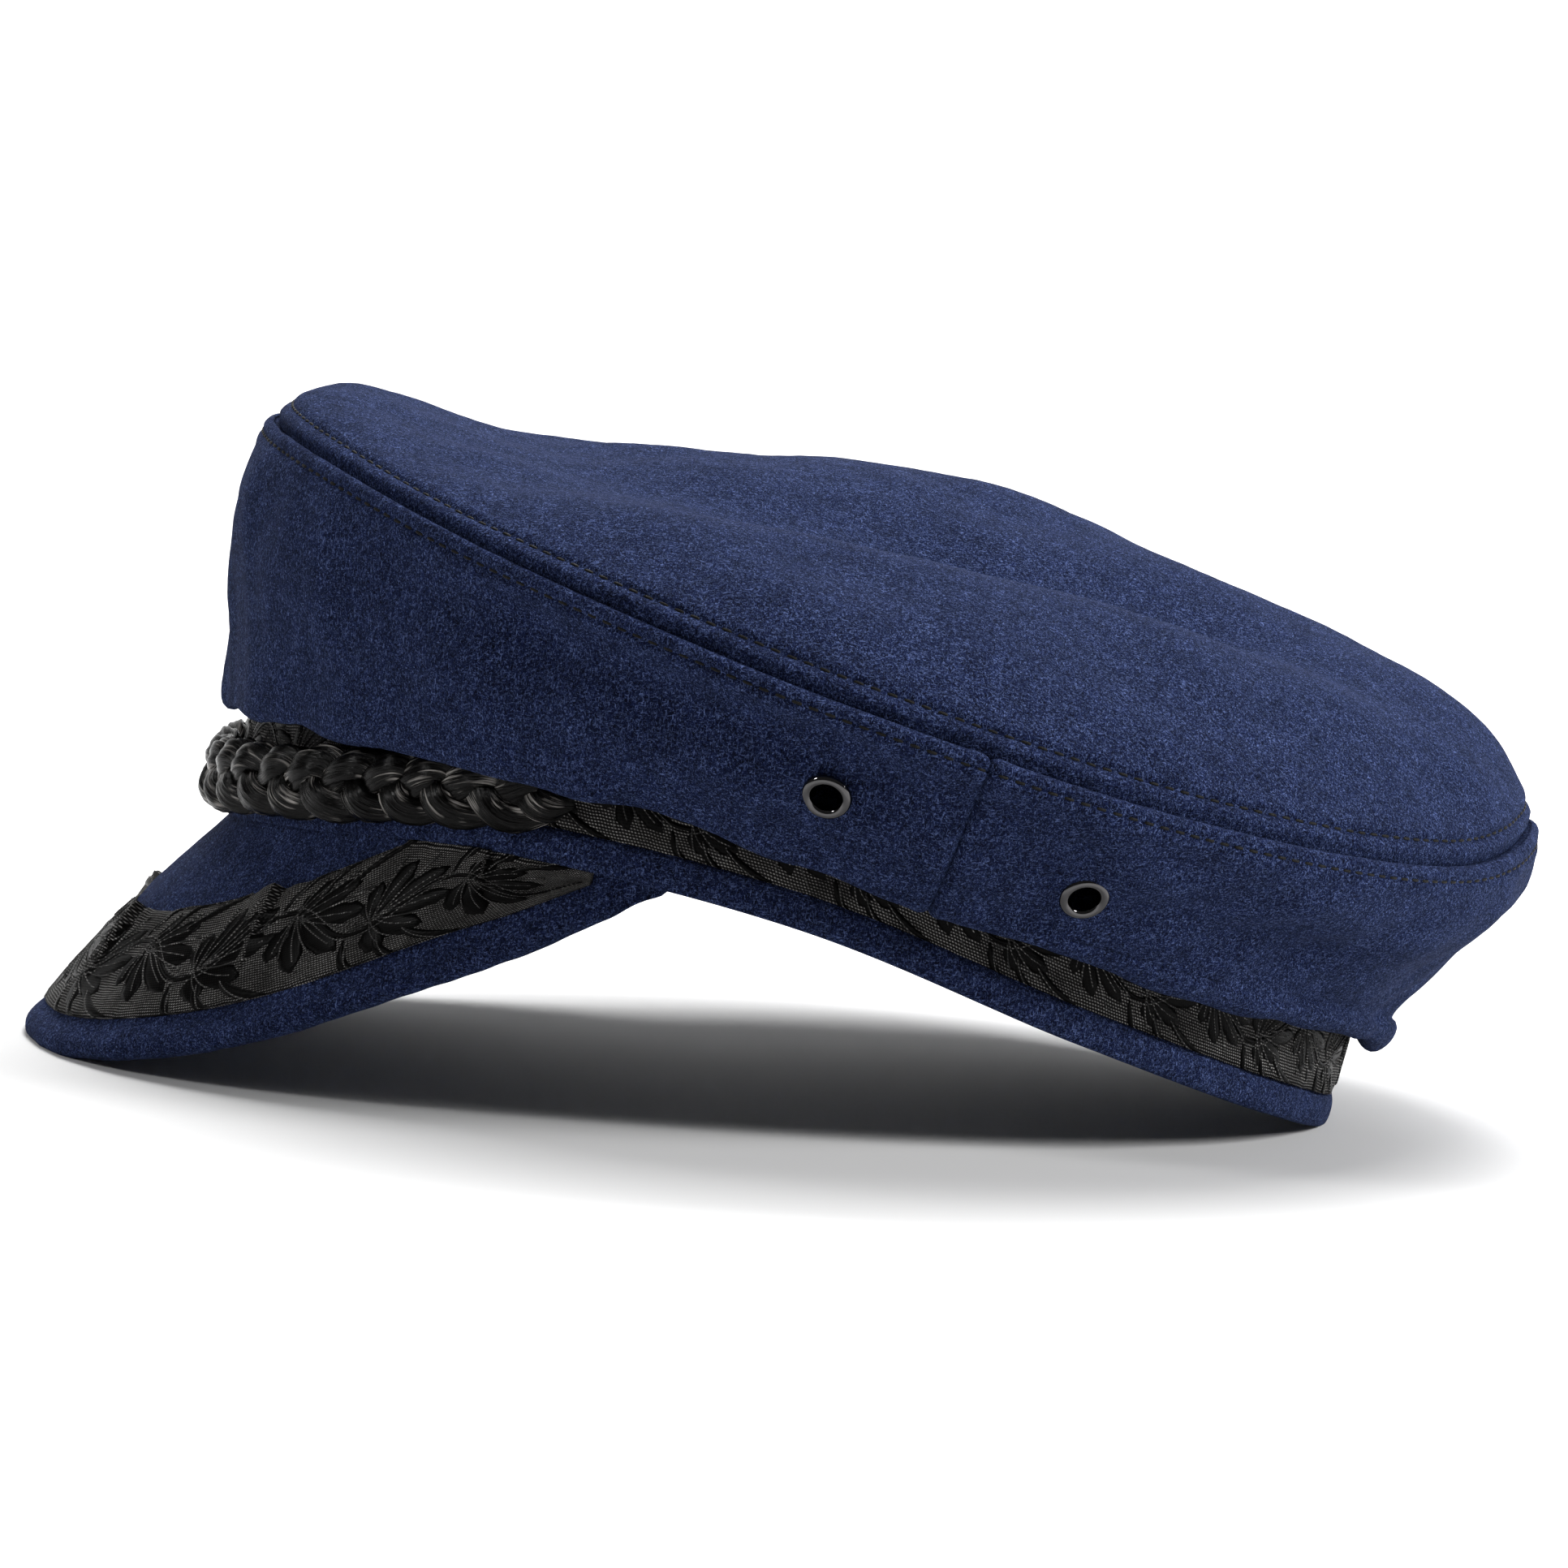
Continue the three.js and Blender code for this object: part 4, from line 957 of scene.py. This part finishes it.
peak_turns = np.linspace(-PEAK_END_TURN, PEAK_END_TURN, 330)
peak_reach = PEAK_LENGTH * at_turn(PEAK_TURNS, PEAK_REACH, peak_turns)
peak_reach = np.maximum(0.15, peak_reach * smooth_step((PEAK_END_TURN - np.abs(peak_turns)) / 8 + 0.05))
rim_radius = np.minimum(PEAK_THICKNESS / 2 + RIM_PAD, peak_reach * 0.4)
straight = peak_reach - rim_radius
full_pad = RIM_PAD * np.minimum(1, peak_reach / 8)


def board_line(shares, side):
    """Places on one face of the board, with its height, which swells towards the padded rim."""
    for share in shares:
        pad = full_pad * smooth_step((straight * (share - 1) + PAD_WIDTH) / PAD_WIDTH)
        yield straight * share, side * (PEAK_THICKNESS / 2 + pad)


peak_section = [*board_line(np.concatenate([np.linspace(0, 0.8, 30), np.linspace(0.81, 1, 16)]), 1)]
for a in np.linspace(math.pi / 2, -math.pi / 2, 15)[1:]:
    peak_section.append((straight + rim_radius * math.cos(a), (PEAK_THICKNESS / 2 + full_pad) * math.sin(a)))
peak_section += board_line(np.linspace(1, 0, 22)[1:], -1)
peak_along, peak_height = np.moveaxis(np.array(peak_section), 0, -1)
end_thinning = 0.22 + 0.78 * smooth_step(peak_reach / 9)[:, None]
peak_grid = peak_point(peak_turns[:, None], peak_along, peak_height * end_thinning - PEAK_THICKNESS / 2)
peak_swell = ripples(peak_grid, *PEAK_SWELLS) * smooth_step(peak_along / 6)
peak_grid = peak_grid + face_normals(peak_grid, (0, 0, 1), 10) * peak_swell[..., None]
peak = mesh_object("peak_cover", lay(peak_grid).reshape(-1, 3), tube_faces(*peak_grid.shape[:2]), wool)
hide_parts("peak")
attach(peak, "root")

# ------------------------------------------------------------
# The peak's ribbon: the same braid, 24 mm wide, eased round the curve of the peak. Pressed tucks take up the slack on
# the inside of the curve, each folded away from the front.

PEAK_RIBBON_WIDTH, PEAK_BORDER, RIBBON_THICKNESS = 24.0, 8.0, 0.6
PEAK_BORDER_SHARE = [0.82, 0.9, 1.04, 1.14, 0.85]
PEAK_SPRAY_PERIOD, PEAK_LEAF = 39, 19
PEAK_RIBBON_SWELLS = [(9, 0.12, 61), (3.5, 0.05, 62)]
TUCK_HEIGHT, TUCK_LEAN, TUCK_RISE, TUCK_DROP, TUCK_REACH = 2.4, 2.2, 5.5, 0.4, 0.78
TUCK_TURNS = [-58, -35, -12, 12, 35, 58]


def ribbon_outer(turn):
    reach = PEAK_LENGTH * at_turn(PEAK_TURNS, PEAK_REACH, turn)
    return reach - PEAK_BORDER * at_turn(PEAK_TURNS, PEAK_BORDER_SHARE, turn)


ribbon_end = PEAK_END_TURN
while ribbon_outer(ribbon_end) < 2 * SEWN_GAP + 2 * RIBBON_THICKNESS:
    ribbon_end -= 0.25
ribbon_spots = [np.linspace(-ribbon_end, ribbon_end, 420)] + [tuck + np.linspace(-2.4, 2.4, 41) for tuck in TUCK_TURNS]
peak_ribbon_turns = np.unique(np.concatenate(ribbon_spots))
across = np.linspace(0, 1, 25)
outer_edge = ribbon_outer(peak_ribbon_turns)
inner_edge = np.maximum(outer_edge - PEAK_RIBBON_WIDTH, 2 * SEWN_GAP)
along = inner_edge[:, None] + (outer_edge - inner_edge)[:, None] * across
room = ((outer_edge - inner_edge) / PEAK_RIBBON_WIDTH)[:, None]
tuck_lift = np.zeros_like(along)
for tuck in TUCK_TURNS:
    away = ((peak_ribbon_turns - tuck) * math.copysign(MM_PER_DEGREE, tuck))[:, None] - TUCK_LEAN * across
    fold = np.where(away <= 0, hump(away, 0, TUCK_RISE), hump(away, 0, TUCK_DROP)) + 0.22 * hump(away, 3.2, 1.6)
    tuck_lift += TUCK_HEIGHT * fold * np.clip(1 - across / TUCK_REACH, 0, 1) ** 0.9 * room
edge_round = 0.3 * np.sqrt(np.clip(1 - np.abs(2 * across - 1) ** 10, 0, 1))
ribbon_top = peak_point(peak_ribbon_turns[:, None], along, 0.42 + edge_round + tuck_lift)
ribbon_low = peak_point(peak_ribbon_turns[:, None], along, 0.05)
ribbon_ways = face_normals(ribbon_low, (0, 0, 1), 12)
ribbon_top = ribbon_top + ribbon_ways * ripples(ribbon_top, *PEAK_RIBBON_SWELLS)[..., None]
outer_arc = travelled(ribbon_low[:, -1])
peak_flat = (outer_arc, across * PEAK_RIBBON_WIDTH)
peak_ways = face_normals(ribbon_top, (0, 0, 1), 12)
peak_ribbon_pieces = woven_ribbon(
    "peak_ribbon", ribbon_top, ribbon_low, peak_ways, *peak_flat, PEAK_SPRAY_PERIOD, PEAK_LEAF
)
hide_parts("peak_ribbon")
for piece in peak_ribbon_pieces:
    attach(piece, "root")

# ------------------------------------------------------------
# The plaited cord: three strands of loose satin floss, plaited flat and laid across the front over the foot of the
# band. The crown's fold presses both ends flat and hides them.

PLAIT_WIDTH, STRAND_WIDTH, STRAND_THICKNESS = 13.4, 5.9, 3.9
PLAIT_PERIOD, PLAIT_END_TURN = 29.0, 66
PLAIT_TURNS = [0, 24, 48, 60, 72]
PLAIT_RISE = [0.31, 0.32, 0.39, 0.45, 0.6]
PLAIT_DEPTH = [1, 1, 0.85, 0.62, 0.5]
STRAND_SIDES, STRAND_UNROLLED = 30, 12.0
FLOSS_BLACK = (0.0008, 0.0007, 0.0006, 1)
# Painted highlight: a light grey painted into the floss's colour in streaks, standing in for the satin's shine under
# the lamps.
FLOSS_PAINTED_HIGHLIGHT = (0.55, 0.52, 0.49, 1)

floss, floss_tree, floss_shader = new_material("satin_floss", FLOSS_BLACK, 0.3, Specular_IOR_Level=0.12)
floss_flat = add_node(floss_tree, "UVMap", uv_map="threads")["UV"]
floss_drawn, floss_spread = (
    add_node(floss_tree, "Mapping", {"Vector": floss_flat, "Scale": scale})["Vector"]
    for scale in ((110.0, 2400.0, 1.0), (170.0, 420.0, 1.0))
)
# The painted highlight lies along the long fibre lines, only inside larger patches; the same lines also set the
# roughness and the bump.
floss_lines = noise(floss_tree, floss_drawn, 1.0, 4.0, 0.6)
floss_highlight_patches = remap(floss_tree, noise(floss_tree, floss_spread, 1.0, 1.0), 0.5, 0.68)
floss_painted_highlight = calculate(floss_tree, "MULTIPLY", remap(floss_tree, floss_lines, 0.5, 0.7), floss_highlight_patches)
floss_tree.links.new(remap(floss_tree, floss_lines, 0.0, 1.0, 0.32, 0.14), floss_shader["Roughness"])
# The black floss with its painted highlight streaks mixed in.
floss_color = color_mix(floss_tree, floss_painted_highlight, FLOSS_BLACK, FLOSS_PAINTED_HIGHLIGHT)
set_looks(floss_tree, floss_shader, floss_color, floss_lines, 0.8, 0.0004)

plait_clear = 1.2 * SEWN_GAP + BAND_EDGE_ROLL
fine_turns = np.linspace(0, PLAIT_END_TURN, 265)
plait_reached = travelled(from_band(fine_turns, plait_clear, band_bottom(fine_turns)))
places = np.linspace(-plait_reached[-1], plait_reached[-1], 620)
plait_turn = np.sign(places) * np.interp(np.abs(places), plait_reached, fine_turns)
plait_depth = at_turn(PLAIT_TURNS, PLAIT_DEPTH, plait_turn)
plait_middle = band_bottom(plait_turn) + BAND_HEIGHT * at_turn(PLAIT_TURNS, PLAIT_RISE, plait_turn)
from_end = plait_reached[-1] - np.abs(places)
swing = (PLAIT_WIDTH - STRAND_WIDTH) / 2 * (0.45 + 0.55 * smooth_step(from_end / 9))
end_taper = 0.35 + 0.65 * smooth_step(from_end / 4)
drift = np.interp(places, np.linspace(places[0], places[-1], 30), np.random.default_rng(80).uniform(-1, 1, 30))
for number in range(3):
    phase = 2 * math.pi * (places / PLAIT_PERIOD + number / 3) + 0.45 * drift
    out = plait_clear + plait_depth * (2.0 + 1.4 * np.sin(2 * phase))
    centre = from_band(plait_turn, out, plait_middle + swing * np.sin(phase))
    tangent = unit(np.gradient(centre, axis=0))
    facing = outward_at(plait_turn)
    facing = unit(facing - tangent * np.sum(facing * tangent, -1, keepdims=True))
    sideways = np.cross(tangent, facing)
    reached = travelled(centre)
    draw = np.random.default_rng(70 + number)
    swell = 1 + 0.05 * np.sin(reached / 5.3 + draw.uniform(0, 6)) + 0.03 * np.sin(reached / 2.1 + draw.uniform(0, 6))
    rings, flat = [], []
    for a in np.linspace(0, 2 * math.pi, STRAND_SIDES, endpoint=False):
        plies = 1 + 0.075 * np.cos(5 * (a + reached / 7.0)) + 0.04 * np.cos(11 * (a + reached / 9.0) + number)
        wide = STRAND_WIDTH / 2 * swell * end_taper * plies
        thick = STRAND_THICKNESS / 2 * (0.4 + 0.6 * plait_depth) * end_taper * plies
        rings.append(centre + sideways * (wide * math.cos(a))[:, None] + facing * (thick * math.sin(a))[:, None])
        flat.append(np.stack([reached, STRAND_UNROLLED * (a / (2 * math.pi) + reached / 60.0)], -1))
    strand_points = lay(np.stack(rings, 1)).reshape(-1, 3)
    strand_faces = tube_faces(len(places), STRAND_SIDES)
    strand = mesh_object(f"plait_strand_{number + 1}", strand_points, strand_faces, floss)
    set_flat_map(strand, np.stack(flat, 1).reshape(-1, 2))
    if number == 0:
        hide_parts("plait")
    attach(strand, "root")
